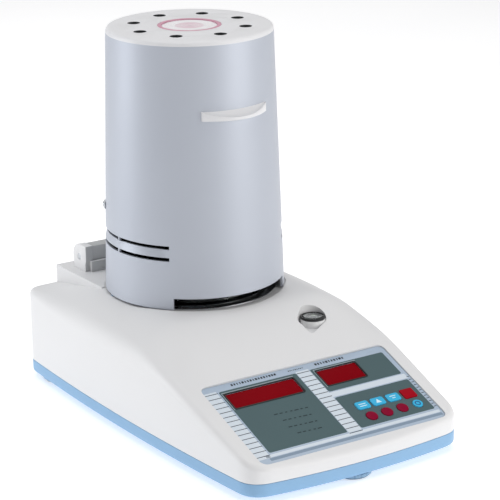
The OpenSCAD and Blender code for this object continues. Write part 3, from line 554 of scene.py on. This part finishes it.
def deckRings(inset, drop, bottom, filletSteps, skirtSteps, innerSteps, chamfer=()):
    rings = [insetRing(inset + d, bottom + z) for d, z in chamfer] or [insetRing(inset, bottom)]
    for i in range(filletSteps + 1):
        a = math.pi / 2 * i / filletSteps
        ring = []
        for p in outline:
            r = edgeR(p[1])
            q = inward(p, inset + r * (1 - math.cos(a)))
            ring.append((q[0], q[1], deckZ(*q) - drop - r * (1 - math.sin(a))))
        rings.append(ring)
    for i in range(1, skirtSteps + 1):
        ring = []
        for p in outline:
            start, c = inward(p, inset + edgeR(p[1])), corePoint(p)
            q = (mix(start[0], c[0], i / skirtSteps), mix(start[1], c[1], i / skirtSteps))
            ring.append((q[0], q[1], deckZ(*q) - drop))
        rings.append(ring)
    for i in range(1, innerSteps + 1):
        t = i / innerSteps
        ring = []
        for p in outline:
            c = corePoint(p)
            q = tuple(mix(c[k], c[k] * base["middle"][k], t) for k in (0, 1))
            ring.append((q[0], q[1], deckZ(*q) - drop))
        rings.append(ring)
    return rings


def block(name, low, high):
    xs, ys, zs = zip(low, high)
    points = [(x, y, z) for z in zs for y in ys for x in xs]
    faces = [(0, 2, 3, 1), (4, 5, 7, 6), (0, 1, 5, 4), (2, 6, 7, 3), (0, 4, 6, 2), (1, 3, 7, 5)]
    obj = newObject(name, points, faces, None, 0)
    recalc(obj)
    return obj


def hullLoop(circles, steps=90):
    # Convex outline round several circles
    turns = [2 * math.pi * i / steps for i in range(steps)]
    points = [(cx + r * math.cos(a), cy + r * math.sin(a)) for cx, cy, r in circles for a in turns]
    points = sorted(set(points))

    def chain(items):
        out = []
        for p in items:
            while len(out) > 1 and ((out[-1][0] - out[-2][0]) * (p[1] - out[-2][1])
                                    - (out[-1][1] - out[-2][1]) * (p[0] - out[-2][0])) <= 1e-9:
                out.pop()
            out.append(p)
        return out[:-1]
    return chain(points) + chain(points[::-1])


levelSpec = {"x": 51.5, "y": -41.7, "floor": 78.4,
             "scoop": [(51.5, -41.7, 11.2), (40.5, -45, 6), (39.4, -56.5, 3)], "scoopTop": 120}
keySpec = {"u": (29, 44.3, 59.7, 75.1), "v": (64.6, 78.3), "hole": (6.6, 5.9), "holeR": 1.5}
coverSpec = {
    "outer": {"inset": 0, "drop": 0, "bottom": base["seam"], "filletSteps": 9, "skirtSteps": 8,
              "innerSteps": 26, "chamfer": ((0.45, 0.15), (0.12, 0.4), (0, 0.9))},
    "inner": {"inset": 11, "drop": 12.5, "bottom": base["seam"] + 0.15, "filletSteps": 2, "skirtSteps": 3,
              "innerSteps": 10},
    "plinth": [(-71.5, 100), (71.5, 100), (71.5, 181), (-71.5, 181)],
    "plinthZ": (73.5, 97.5),
    "hoodSeat": [(0, 40), (62.6, 40), (62.6, 97), (78.4, 97), (78.4, 110), (0, 110)],
    "facing": (-90.3, 90.3, 2.7, 100.3, -1, 9, 6),
    "rearRecess": ((-84, 179.2, 28), (84, 200, 73)),
    "under": (-84, 84, 8, 94, -14, -3.4, 2),
    "windows": ((-73.6, -7.2, 15.2, 33.2), (15.7, 55.1, 14.3, 33.7)),
    "cutW": (-4, 1),
    "ports": ((-58, 27.6, 20.6), (-24, 13.6, 19.6), (48, 19.6, 10.6), (2, 12.4, 12.4)),
    "portY": (160, 190),
    "portZ": 50,
    "seatSegments": 160,
    "crease": 24,
}


def buildCover():
    outer = deckRings(**coverSpec["outer"])
    inner = deckRings(**coverSpec["inner"])
    points = [p for ring in outer + inner for p in ring]
    shift = len(outer) * rimCount
    faces = ringFaces(len(outer)) + capFaces(shift - rimCount)
    inside = ringFaces(len(inner), True) + capFaces((len(inner) - 1) * rimCount, True)
    faces += [tuple(i + shift for i in face) for face in inside]
    faces += [(i, shift + i, shift + (i + 1) % rimCount, (i + 1) % rimCount) for i in range(rimCount)]
    cover = newObject("cover", points, faces, None, 0)
    recalc(cover)
    cut(cover, prism("plinth", coverSpec["plinth"], *coverSpec["plinthZ"]), "UNION")
    seat = lathe("recess", coverSpec["hoodSeat"], (0, base["hoodY"]), coverSpec["seatSegments"], None, 0)
    facing = plate("facing", *coverSpec["facing"])
    scoop = prism("scoop", hullLoop(levelSpec["scoop"]), levelSpec["floor"], levelSpec["scoopTop"])
    recalc(scoop)
    rearRecess = block("rearRecess", *coverSpec["rearRecess"])
    cut(cover, joined("coverCuts", [seat, facing, scoop, rearRecess]))
    cut(cover, plate("under", *coverSpec["under"]))
    keyW, keyH = keySpec["hole"]
    areas = list(coverSpec["windows"])
    areas += [(u - keyW, u + keyW, v - keyH, v + keyH) for u in keySpec["u"] for v in keySpec["v"]]
    holes = [plate("panelHole", *area, *coverSpec["cutW"], keySpec["holeR"]) for area in areas]
    for x, w, h in coverSpec["ports"]:
        low = (x - w / 2, coverSpec["portY"][0], coverSpec["portZ"] - h / 2)
        high = (x + w / 2, coverSpec["portY"][1], coverSpec["portZ"] + h / 2)
        holes.append(block("port", low, high))
    cut(cover, joined("coverHoles", holes))
    dress(cover, "coverPaint", coverSpec["crease"])
    place(cover, "base", "white_paint", "top_cover")
    return cover


cover = buildCover()
print("cover", len(cover.data.polygons))

traySpec = {
    "bottom": 4.8, "round": 3, "roundSteps": 5, "inner": 22,
    "wall": ((0, 15.7), (0.12, 16.0), (0.5, 16.25), (2.4, 16.25), (2.5, 7.2), (22, 7.2)),
    "feet": ((0, -169), (85, 156), (-85, 156)),
    "footR": 3.06,
    "screws": ((92, -146), (-92, -146), (94, -20), (-94, -20), (42, 150), (-42, 150)),
    "screwR": 4,
    "holeZ": (2, 20),
    "holeSegments": 32,
    "crease": 30,
    "slots": {"x": 48, "half": 19, "y": -70, "step": 9, "rows": 8, "halfW": 1.5, "z": (2, 9)},
}


def buildTray():
    steps, radius = traySpec["roundSteps"], traySpec["round"]
    rings = [insetRing(traySpec["inner"], traySpec["bottom"])]
    for i in range(steps + 1):
        a = math.pi / 2 * i / steps
        inset, rise = radius * (1 - math.sin(a)) + 1e-4, radius * (1 - math.cos(a))
        rings.append(insetRing(inset, traySpec["bottom"] + rise))
    rings += [insetRing(*row) for row in traySpec["wall"]]
    points = [p for ring in rings for p in ring]
    faces = ringFaces(len(rings)) + capFaces(0, True) + capFaces((len(rings) - 1) * rimCount)
    tray = newObject("tray", points, faces, None, 0)
    recalc(tray)
    low, high = traySpec["holeZ"]
    cutters = []
    for places, r in ((traySpec["feet"], traySpec["footR"]), (traySpec["screws"], traySpec["screwR"])):
        for spot in places:
            profile = [(0, low), (r, low), (r, high), (0, high)]
            cutters.append(lathe("hole", profile, spot, traySpec["holeSegments"], None, 0))
    slots = traySpec["slots"]
    for side in (-1, 1):
        for i in range(slots["rows"]):
            x, y = side * slots["x"], slots["y"] + i * slots["step"]
            cutters.append(block("slot", (x - slots["half"], y - slots["halfW"], slots["z"][0]),
                                 (x + slots["half"], y + slots["halfW"], slots["z"][1])))
    cut(tray, joined("trayCuts", cutters))
    dress(tray, "trayPaint", traySpec["crease"])
    place(tray, "base", "blue_paint", "base_tray")


buildTray()
print("tray")


# CAD pieces taken over with rounded edges

edgeSpec = {"merge": 2e-6, "flat": 1, "corner": 35, "segments": 2}


def adopt(node, body, material, slotName, bevel):
    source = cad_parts[node]
    build = bmesh.new()
    build.from_mesh(source.data)
    bmesh.ops.remove_doubles(build, verts=build.verts, dist=edgeSpec["merge"])
    flat = math.radians(edgeSpec["flat"])
    bmesh.ops.dissolve_limit(build, angle_limit=flat, verts=build.verts, edges=build.edges)
    mesh = bpy.data.meshes.new(node + "Look")
    build.to_mesh(mesh)
    build.free()
    if mesh.attributes.get("custom_normal"):
        mesh.attributes.remove(mesh.attributes["custom_normal"])
    obj = linkNew(node + "Look", mesh)
    if bevel:
        modifier = obj.modifiers.new("edge", "BEVEL")
        modifier.width = bevel * mm
        modifier.segments = edgeSpec["segments"]
        modifier.limit_method = "ANGLE"
        modifier.angle_limit = math.radians(edgeSpec["corner"])
        modifier.use_clamp_overlap = True
        applyModifiers(obj)
    dress(obj, material, edgeSpec["corner"])
    place(obj, body, slotName, node)
    return obj


# Node: body, finish, slot and rounding of the edges in mm
adopted = {
    "panel_overlay": ("base", "foil", "silver_foil", 0.15),
    "display_window_left": ("base", "redFilter", "red_filter", 0.2),
    "display_window_right": ("base", "redFilter", "red_filter", 0.2),
    "drying_chamber": ("base", "brushedSteel", "bright_steel", 0.2),
    "hinge_bracket": ("base", "coverPaint", "light_metal", 0.7),
    "hinge_pin": ("base", "brushedSteel", "bright_steel", 0.3),
    "power_inlet": ("base", "moulded", "black_plastic", 0.3),
    "switch_housing": ("base", "moulded", "black_plastic", 0.3),
    "fuse_holder": ("base", "moulded", "black_plastic", 0.4),
    "serial_port": ("base", "castAlloy", "bright_steel", 0.2),
    "hood_buffers": ("base", "rubberFoot", "soft_rubber", 0.2),
    "cover_screws": ("base", "brushedSteel", "bright_steel", 0.15),
    "weighing_spindle": ("base", "brushedSteel", "bright_steel", 0.2),
    "power_rocker": ("power_rocker", "rockerRed", "red_plastic", 0.3),
    "fuse_cap": ("fuse_cap", "moulded", "black_plastic", 0.4),
    "pan_support": ("pan_support", "brushedSteel", "bright_steel", 0.15),
    "sample_pan": ("sample_pan", "spunAlloy", "pan_alloy", 0.15),
    "wind_shield": ("wind_shield", "clearGlass", "shield_glass", 0.2),
    "top_cap": ("hood", "capPaint", "white_paint", 0.35),
    "window_ring": ("hood", "pinkRim", "white_paint", 0.3),
    "hinge_bar": ("hood", "hingeShadeGrey", "light_metal", 0.7),
    "inner_liner": ("hood", "linerSteel", "liner_steel", 0.1),
    "lamp_bulb": ("hood", "bulbGlass", "bulb_glass", 0),
    "lamp_socket": ("hood", "porcelain", "porcelain", 0.5),
    "lamp_bracket": ("hood", "castAlloy", "bright_steel", 0.2),
    "lamp_guard": ("hood", "brushedSteel", "bright_steel", 0.2),
    "temperature_probe": ("hood", "brushedSteel", "bright_steel", 0.2),
    "liner_screws": ("hood", "brushedSteel", "bright_steel", 0.2),
    "hood_bolts": ("hood", "brushedSteel", "bright_steel", 0.2),
}
for spot in ("front", "right", "left"):
    adopted["foot_pad_" + spot] = ("foot_pad_" + spot, "rubberFoot", "soft_rubber", 0.4)
    adopted["foot_screw_" + spot] = ("foot_screw_" + spot, "footPlastic", "foot_plastic", 0.4)
keyFinish = {"key_upper_4": ("redKey", "red_plastic"), "key_lower_4": ("cyanKey", "cyan_key")}
for n in (1, 2, 3):
    keyFinish["key_upper_" + str(n)] = ("cyanKey", "cyan_key")
    keyFinish["key_lower_" + str(n)] = ("crimsonKey", "crimson_key")
for node, (material, slotName) in keyFinish.items():
    adopted[node] = (node, material, slotName, 0.45)
looks = {node: adopt(node, *spec) for node, spec in adopted.items()}


# Further finishes of a piece, given to faces by their place and direction; most of them are painted shade:
# dark vent holes, a black liner seen through the slots and the gap, and a shaded front on the hinge bracket

faceSpec = {"up": 0.7, "out": 0.3, "linerSplit": 0.3, "vents": (32, 62), "level": 0.5, "front": -0.6}


def outward(face):
    # Distance from the middle of the hood, and how far the face looks away from it
    x, y = face.center.x, face.center.y - base["hoodY"] * mm
    return math.hypot(x, y), (face.normal.x * x + face.normal.y * y) / max(math.hypot(x, y), 1e-9)


# Painted shade: low faces looking out get the flat black, top faces the dark vent finish
def linerIndex(face):
    if face.normal.z > faceSpec["up"] and face.center.z > faceSpec["linerSplit"]:
        return 2
    return 1 if outward(face)[1] > faceSpec["out"] and face.center.z < faceSpec["linerSplit"] else 0


# Painted shade: the walls of the vent holes in the white cap are dark, for the shade inside the holes
def ventShadeIndex(face):
    near, far = faceSpec["vents"]
    return 1 if near * mm < outward(face)[0] < far * mm and abs(face.normal.z) < faceSpec["level"] else 0


# Painted shade: the front faces of the white hinge bracket, in shade behind the hood, take the grey of the
# hinge bar
def bracketShadedFront(face):
    return 1 if face.normal.y < faceSpec["front"] else 0


partFinishes = {
    "inner_liner": (("linerShadowBlack", "ventShade"), linerIndex),
    "top_cap": (("ventShade",), ventShadeIndex),
    "hinge_bracket": (("hingeShadeGrey",), bracketShadedFront),
}
for node, (extra, pick) in partFinishes.items():
    mesh = looks[node].data
    for material in extra:
        mesh.materials.append(finishes[material])
    for face in mesh.polygons:
        face.material_index = pick(face)
kept = {
    "panel_board": "boardGreen", "main_board": "boardGreen", "tact_switches": "moulded",
    "led_display_left": "moulded", "led_display_right": "moulded", "transformer": "coreSteel",
    "load_cell": "castAlloy", "load_cell_block": "castAlloy", "cell_bolts": "brushedSteel",
    "bracket_screws": "brushedSteel",
}
for node, material in kept.items():
    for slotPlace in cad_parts[node].material_slots:
        slotPlace.material = finishes[material]
print("adopted", len(adopted))


# Repeated printed marks, made with geometry nodes

def markTree(name):
    # A line of printed bars; the length of each bar can vary
    tree = bpy.data.node_groups.new(name, "GeometryNodeTree")
    inputs = (("Count", "NodeSocketInt", 10), ("Start", "NodeSocketVector", (0, 0, 0)),
              ("Step", "NodeSocketVector", (0, 0.01, 0)), ("Size", "NodeSocketVector", (0.01, 0.001, 0.0001)),
              ("Shortest", "NodeSocketFloat", 1.0), ("Material", "NodeSocketMaterial", None))
    for label, kind, value in inputs:
        socket = tree.interface.new_socket(label, in_out="INPUT", socket_type=kind)
        if value is not None:
            socket.default_value = value
    tree.interface.new_socket("Geometry", in_out="OUTPUT", socket_type="NodeSocketGeometry")
    nodes, links = tree.nodes, tree.links
    inlet, outlet = nodes.new("NodeGroupInput"), nodes.new("NodeGroupOutput")
    line = nodes.new("GeometryNodeMeshLine")
    line.mode = "OFFSET"
    bar = nodes.new("GeometryNodeMeshCube")
    onPoints = nodes.new("GeometryNodeInstanceOnPoints")
    vary = nodes.new("FunctionNodeRandomValue")
    vary.inputs["Max"].default_value = 1.0
    vary.inputs["Seed"].default_value = 7
    combine = nodes.new("ShaderNodeCombineXYZ")
    combine.inputs["Y"].default_value = 1.0
    combine.inputs["Z"].default_value = 1.0
    realize = nodes.new("GeometryNodeRealizeInstances")
    paint = nodes.new("GeometryNodeSetMaterial")
    fed = (("Count", line, "Count"), ("Start", line, "Start Location"), ("Step", line, "Offset"),
           ("Size", bar, "Size"), ("Shortest", vary, 2), ("Material", paint, "Material"))
    for label, node, socket in fed:
        links.new(inlet.outputs[label], node.inputs[socket])
    links.new(vary.outputs[1], combine.inputs["X"])
    links.new(line.outputs["Mesh"], onPoints.inputs["Points"])
    links.new(bar.outputs["Mesh"], onPoints.inputs["Instance"])
    links.new(combine.outputs["Vector"], onPoints.inputs["Scale"])
    links.new(onPoints.outputs["Instances"], realize.inputs["Geometry"])
    links.new(realize.outputs["Geometry"], paint.inputs["Geometry"])
    links.new(paint.outputs["Geometry"], outlet.inputs["Geometry"])
    return tree


bars = markTree("printedBars")


def printBars(name, count, start, step, size, material, shortest):
    mesh = bpy.data.meshes.new(name)
    obj = linkNew(name, mesh)
    modifier = obj.modifiers.new("bars", "NODES")
    modifier.node_group = bars
    values = {"Count": count, "Start": (start[0] * mm, -start[1] * mm, printSpec["low"] * mm),
              "Step": (step[0] * mm, -step[1] * mm, 0),
              "Size": (size[0] * mm, size[1] * mm, printSpec["thick"] * mm),
              "Shortest": shortest, "Material": finishes[material]}
    for item in bars.interface.items_tree:
        if item.item_type == "SOCKET" and item.in_out == "INPUT":
            modifier[item.identifier] = values[item.name]
    applyModifiers(obj)
    obj.data.transform(panelMatrix)
    place(obj, "base", "silver_foil")


printSpec = {"low": 0.05, "thick": 0.16}
# Name, count, start and step in panel millimetres, length and height of a bar, finish, shortest share
prints = [
    ("leftRule", 15, (-83.6, 12.0), (0, 5.6), (12.2, 0.62), "linePrint", 1.0),
    ("middleRule", 15, (5.1, 12.0), (0, 5.6), (12.8, 0.62), "linePrint", 1.0),
    ("rightTicks", 12, (88.0, 46.0), (0, 3.6), (2.6, 0.6), "linePrint", 1.0),
    ("titleMarks", 17, (-61, 6.4), (2.6, 0), (1.9, 2.2), "markPrint", 0.45),
    ("rightTitle", 11, (21, 6.4), (2.7, 0), (2.0, 2.4), "markPrint", 0.45),
    ("smallTitle", 9, (-6, 6.6), (1.7, 0), (1.2, 1.0), "linePrint", 0.5),
    ("rowOne", 7, (-46, 50.0), (4.8, 0.2), (4.2, 1.1), "faintPrint", 0.45),
    ("rowTwo", 6, (-43, 58.5), (4.8, 0.2), (4.2, 1.1), "faintPrint", 0.45),
    ("rowThree", 6, (-43, 67.0), (4.8, 0.2), (4.2, 1.1), "faintPrint", 0.45),
    ("rowFour", 5, (-40, 75.5), (4.8, 0.2), (4.2, 1.1), "faintPrint", 0.45),
]
for row in prints:
    printBars(*row)
print("printed marks")


# Printed areas of the facing, with the windows and keys cut out of them, and bands of painted light and shade
# at its foot and round the windows

areaSpec = {"low": -0.3, "thick": 0.06, "bevelThick": 0.2, "cut": (-4, 4), "frameHigh": 0.32,
            "upperKey": (13.3, 9.5, 2.3), "redKey": (13.1, 11.7, 1.6), "lowerR": 5.35, "ringR": 4.65,
            "leftWindow": (-40.4, 24.2, 66.0, 17.6), "rightWindow": (35.4, 24.0, 39.0, 19.0), "windowR": 1.5,
            "leftRim": (-40.4, 24.2, 69.0, 20.4), "rightRim": (35.4, 24.0, 41.6, 21.4), "rimR": 2.4,
            "crease": 30}


def circleLoop(u, v, r, steps=40):
    turns = [2 * math.pi * i / steps for i in range(steps)]
    return [(u + r * math.cos(a), v + r * math.sin(a)) for a in turns]


def cutThrough(obj, loops):
    cutters = [panelPrism(obj.name + "Hole", loop, *areaSpec["cut"]) for loop in loops]
    if cutters:
        cut(obj, joined(obj.name + "Cuts", cutters))


def printArea(name, u0, u1, v0, v1, material, r, holes=(), thick=areaSpec["thick"]):
    area = plate(name, u0, u1, v0, v1, areaSpec["low"], thick, r)
    cutThrough(area, holes)
    dress(area, material, areaSpec["crease"])
    place(area, "base", "silver_foil")


keyHoles = []
for i, u in enumerate(keySpec["u"]):
    last = i == len(keySpec["u"]) - 1
    keyHoles.append(roundRect(u, keySpec["v"][0], *areaSpec["redKey" if last else "upperKey"]))
    keyHoles.append(circleLoop(u, keySpec["v"][1], areaSpec["ringR" if last else "lowerR"]))
leftHole = roundRect(*areaSpec["leftWindow"], areaSpec["windowR"])
rightHole = roundRect(*areaSpec["rightWindow"], areaSpec["windowR"])
areas = [
    ("leftStrip", -89.6, -78.2, 9.6, 93.5, "palePrint", 0.6),
    ("middleStrip", -1.2, 11.4, 9.6, 89.5, "palePrint", 0.6),
    ("leftSlate", -76.5, -1.7, 10.9, 88.3, "slatePrint", 1.6, [leftHole]),
    ("rightSlate", 12.0, 85.5, 11.0, 40.5, "slatePrint", 1.6, [rightHole]),
    ("divider", 11.4, 87.5, 41.6, 47.4, "palePrint", 0.4),
    ("keySlate", 12.0, 86.0, 48.5, 88.0, "slatePrint", 1.6, keyHoles),
    # The pale foot band and the darker foot shade below it paint the light and shade of the facing's lower
    # edge as it curves down
    ("footBand", -82, 88, 90.2, 93.2, "palePrint", 0.6),
    ("footShade", -80, 88, 93.9, 96.9, "shadePrint", 0.6),
]
for row in areas:
    printArea(*row)
for name, hole in (("left", leftHole), ("right", rightHole)):
    rim = roundRect(*areaSpec[name + "Rim"], areaSpec["rimR"])
    surround = panelPrism(name + "Frame", rim, areaSpec["low"], areaSpec["frameHigh"])
    cutThrough(surround, [hole])
    dress(surround, "blackTrim", areaSpec["crease"])
    place(surround, "base", "black_plastic")
# Painted highlight: pale lines along the top and left edges of each window, the lit sides of its edge
bevels = [
    ("leftBevelTop", -75.2, -6.2, 13.0, 13.7),
    ("leftBevelSide", -75.4, -74.9, 13.0, 34.6),
    ("rightBevelTop", 14.4, 56.4, 12.3, 12.9),
    ("rightBevelSide", 14.2, 14.7, 12.3, 34.9),
]
for row in bevels:
    printArea(*row, "bevelPrint", 0.2, thick=areaSpec["bevelThick"])
print("panel print")


# Marks on the keys: two bars, a triangle, two bars and a ring

markSpec = {"low": 0.7, "high": 0.87, "ring": 2.6, "ringHole": 1.7,
            "bars": ((0, -1.1, 7), (0, 1.3, 7)), "steps": ((0, -1.3, 6), (0, 1.1, 3.6)),
            "triangle": ((-2.6, 2), (2.6, 2), (0, -2.4)), "barH": 0.8, "barR": 0.3}


def keyMark(name, loops, material, body, holes=()):
    parts = [panelPrism(name, loop, markSpec["low"], markSpec["high"]) for loop in loops]
    mark = joined(name, parts)
    cutThrough(mark, holes)
    dress(mark, material, areaSpec["crease"])
    place(mark, body, "cyan_key")


def barLoops(u, v, rows):
    return [roundRect(u + du, v + dv, w, markSpec["barH"], markSpec["barR"]) for du, dv, w in rows]


upperV, lowerV = keySpec["v"]
keyMark("keyMark1", barLoops(keySpec["u"][0], upperV, markSpec["bars"]), "keyMark", "key_upper_1")
triangle = [(keySpec["u"][1] + du, upperV + dv) for du, dv in markSpec["triangle"]]
keyMark("keyMark2", [triangle], "keyMark", "key_upper_2")
keyMark("keyMark3", barLoops(keySpec["u"][2], upperV, markSpec["steps"]), "keyMark", "key_upper_3")
ringU = keySpec["u"][3]
ringHole = circleLoop(ringU, lowerV, markSpec["ringHole"])
keyMark("ringMark", [circleLoop(ringU, lowerV, markSpec["ring"])], "ringMark", "key_lower_4", [ringHole])
print("key marks")


# Bubble level: fluid, bubble and a domed glass over them, with heights above the floor of its scoop

domeTurns = [math.pi / 2 * i / 10 for i in range(1, 10)]
domeEdge = [(8.9 * math.cos(a), 7.4 + 1.55 * math.sin(a)) for a in domeTurns]
levelPieces = [
    ("levelFluidDisc", [(0, 2), (8.9, 2), (8.9, 5.6), (8.5, 5.9), (0, 5.9)],
     (0, 0), 64, "levelFluid", "level_fluid"),
    ("levelGlass", [(0, 6.0), (8.9, 6.0), (8.9, 7.4), *domeEdge, (0, 8.95)],
     (0, 0), 64, "clearGlass", "level_fluid", "bubble_level_lens"),
    ("levelBubbleDisc", [(0, 5.92), (2.1, 5.92), (2.3, 5.96), (1.6, 5.99), (0, 5.995)],
     (0.8, 0.5), 32, "levelBubble", "level_fluid"),
    ("levelLower", [(0, 0), (10.6, 0), (10.6, 5.7), (10.3, 6.0), (9.05, 6.0), (9.05, 2), (0, 2)],
     (0, 0), 64, "coverPaint", "white_paint"),
    ("levelBezel",
     [(9.05, 6.05), (10.3, 6.05), (10.6, 6.4), (10.6, 7.7), (10.3, 8.1), (9.9, 8.2), (9.05, 8.0)],
     (0, 0), 64, "blackTrim", "black_plastic", "bubble_level_body"),
    ("levelRing", [(3.1, 5.9), (3.5, 5.9), (3.5, 5.97), (3.1, 5.97)],
     (0, 0), 48, "blackTrim", "black_plastic"),
]
for name, profile, offset, segments, material, slotName, *replaced in levelPieces:
    raised = [(r, levelSpec["floor"] + z) for r, z in profile]
    centre = (levelSpec["x"] + offset[0], levelSpec["y"] + offset[1])
    place(lathe(name, raised, centre, segments, material), "base", slotName, *replaced)
print("bubble level")


# Hood

hoodSpec = {
    "bottom": 98.6, "top": 321, "rows": 30, "wall": 2.0, "footIn": 0.5, "segments": 288,
    "bottomR": 77.1, "topR": 70.4, "taperTop": 325,
    "gap": 45.5, "gapZ": (90, 108.6),
    "slots": (140.4, 150.4), "slotH": 3.2, "slotArcs": ((47.8, 88), (89.4, 132)), "slotGap": 88.7,
    "band": (143.6, 145.3, 147.0, 148.7, 150.3), "bandH": 6.8, "lean": 1.4, "ease": 5,
    "cutR": 110, "gapSteps": 24, "slotSteps": 12, "crease": 28,
}


def hoodR(z):
    # Outside radius of the tapered hood
    low, high = hoodSpec["bottom"], hoodSpec["taperTop"]
    return mix(hoodSpec["bottomR"], hoodSpec["topR"], (z - low) / (high - low))


def sectorLoop(start, end, r, steps):
    # Angles in degrees from the front, positive to the right
    loop = [(0, base["hoodY"])]
    for i in range(steps + 1):
        a = math.radians(mix(start, end, i / steps))
        loop.append((r * math.sin(a), base["hoodY"] - r * math.cos(a)))
    return loop


def leanBand(mesh):
    # The band between the slots leans in, and eases out at its ends and at the gap of the slots
    low, high = hoodSpec["slotArcs"][0][0], hoodSpec["slotArcs"][-1][1]
    ease, band = hoodSpec["ease"], hoodSpec["band"]
    for vertex in mesh.vertices:
        x, y, z = (c / mm for c in vertex.co)
        if band[0] - 0.1 < z < band[-1] + 0.15:
            azimuth = abs(math.degrees(math.atan2(x, base["hoodY"] - y)))
            reach = max(0, min(1, (azimuth - low) / ease, (high - azimuth) / ease))
            near = max(0, min(1, abs(azimuth - hoodSpec["slotGap"]) / ease))
            shift = hoodSpec["lean"] * (z - band[0]) / hoodSpec["bandH"] * reach * near
            r = math.hypot(x, y - base["hoodY"])
            vertex.co.x -= x / r * shift * mm
            vertex.co.y -= (y - base["hoodY"]) / r * shift * mm


def buildHood():
    bottom, wall = hoodSpec["bottom"], hoodSpec["wall"]
    footR, footIn = hoodR(bottom), hoodSpec["footIn"]
    height = hoodSpec["top"] - bottom
    levels = [bottom + height * i / hoodSpec["rows"] for i in range(1, hoodSpec["rows"] + 1)]
    levels = sorted(levels + list(hoodSpec["band"]))
    profile = [(footR - wall, bottom), (footR - footIn, bottom), (hoodR(bottom + footIn), bottom + footIn)]
    profile += [(hoodR(z), z) for z in levels]
    profile += [(hoodR(z) - wall, z) for z in reversed(levels)]
    hood = lathe("hood", profile, (0, base["hoodY"]), hoodSpec["segments"], None, 0)
    gap = sectorLoop(-hoodSpec["gap"], hoodSpec["gap"], hoodSpec["cutR"], hoodSpec["gapSteps"])
    cutters = [prism("gap", gap, *hoodSpec["gapZ"])]
    for side in (-1, 1):
        for z in hoodSpec["slots"]:
            for start, end in hoodSpec["slotArcs"]:
                sector = sectorLoop(side * start, side * end, hoodSpec["cutR"], hoodSpec["slotSteps"])
                cutters.append(prism("slot", sector, z, z + hoodSpec["slotH"]))
    for piece in cutters:
        recalc(piece)
        cut(hood, piece)
    leanBand(hood.data)
    dress(hood, "hoodPaint", hoodSpec["crease"])
    place(hood, "hood", "hood_paint", "hood_shell")


buildHood()
print("hood")


# Lip handle on the front of the hood

handleSpec = {"half": 31, "bottom": 259.3, "top": 267.3, "middle": 263, "bite": 0.6, "endOut": 2.2,
              "midOut": 8.2, "steps": 40, "lipMid": 2.6, "lipEnd": 7.6, "lipPower": 2.2, "backPower": 1.9,
              "crease": 40}


def handleSection(s):
    # Depth and height round the handle at the share s of its half length
    low, bite = handleSpec["bottom"], handleSpec["bite"]
    out = handleSpec["endOut"] + (handleSpec["midOut"] - handleSpec["endOut"]) * (1 - s * s)
    wallY = base["hoodY"] - math.sqrt(hoodR(handleSpec["middle"]) ** 2 - (handleSpec["half"] * s) ** 2) + bite
    frontEdge = wallY - bite - out
    lip = mix(handleSpec["lipMid"], handleSpec["lipEnd"], abs(s) ** handleSpec["lipPower"])
    section = [(wallY, low + 0.3), (frontEdge + 0.8, low), (frontEdge + 0.15, low + 0.35),
               (frontEdge, low + 1.0), (frontEdge, low + lip - 0.6), (frontEdge + 0.4, low + lip)]
    for t in (0.25, 0.5, 0.75):
        z = mix(low + lip, handleSpec["top"], t ** handleSpec["backPower"])
        section.append((mix(frontEdge + 0.4, wallY, t), z))
    return section + [(wallY, handleSpec["top"])]


def buildHandle():
    steps = handleSpec["steps"]
    shares = [-1 + 2 * k / steps for k in range(steps + 1)]
    sections = [handleSection(s) for s in shares]
    rows = len(sections[0])
    points = [(handleSpec["half"] * s, y, z) for s, section in zip(shares, sections) for y, z in section]
    faces = []
    for k in range(steps):
        for j in range(rows):
            a, b = k * rows + j, k * rows + (j + 1) % rows
            faces.append((a, b, b + rows, a + rows))
    faces.append(tuple(range(rows)))
    faces.append(tuple(range(steps * rows, (steps + 1) * rows))[::-1])
    handle = newObject("handle", points, faces, None, 0)
    recalc(handle)
    dress(handle, "capPaint", handleSpec["crease"])
    place(handle, "hood", "white_paint", "hood_handle")


buildHandle()
print("handle")


# Window in the top of the hood: a pressed glass with rings and a pinkish middle

windowSpec = {"edge": [(0, 321.4), (26.6, 321.4), (26.6, 323.5), (23.2, 323.5), (23.2, 324.3)],
              "rings": (22, 2, -2), "face": 324.3, "crest": 324.55, "middle": 324.4, "pinkR": 12,
              "segments": 96}


def buildWindow():
    low, high = windowSpec["face"], windowSpec["crest"]
    profile = list(windowSpec["edge"])
    for r in range(*windowSpec["rings"]):
        profile += [(r + 0.2, low), (r - 0.6, high), (r - 1.4, low)]
    profile.append((0.0, windowSpec["middle"]))
    glass = lathe("windowGlass", profile, (0, base["hoodY"]), windowSpec["segments"], "frostGlass")
    glass.data.materials.append(finishes["pinkGlass"])
    for face in glass.data.polygons:
        if outward(face)[0] < windowSpec["pinkR"] * mm:
            face.material_index = 1
    place(glass, "hood", "window_pane", "window_glass")


buildWindow()
print("window")
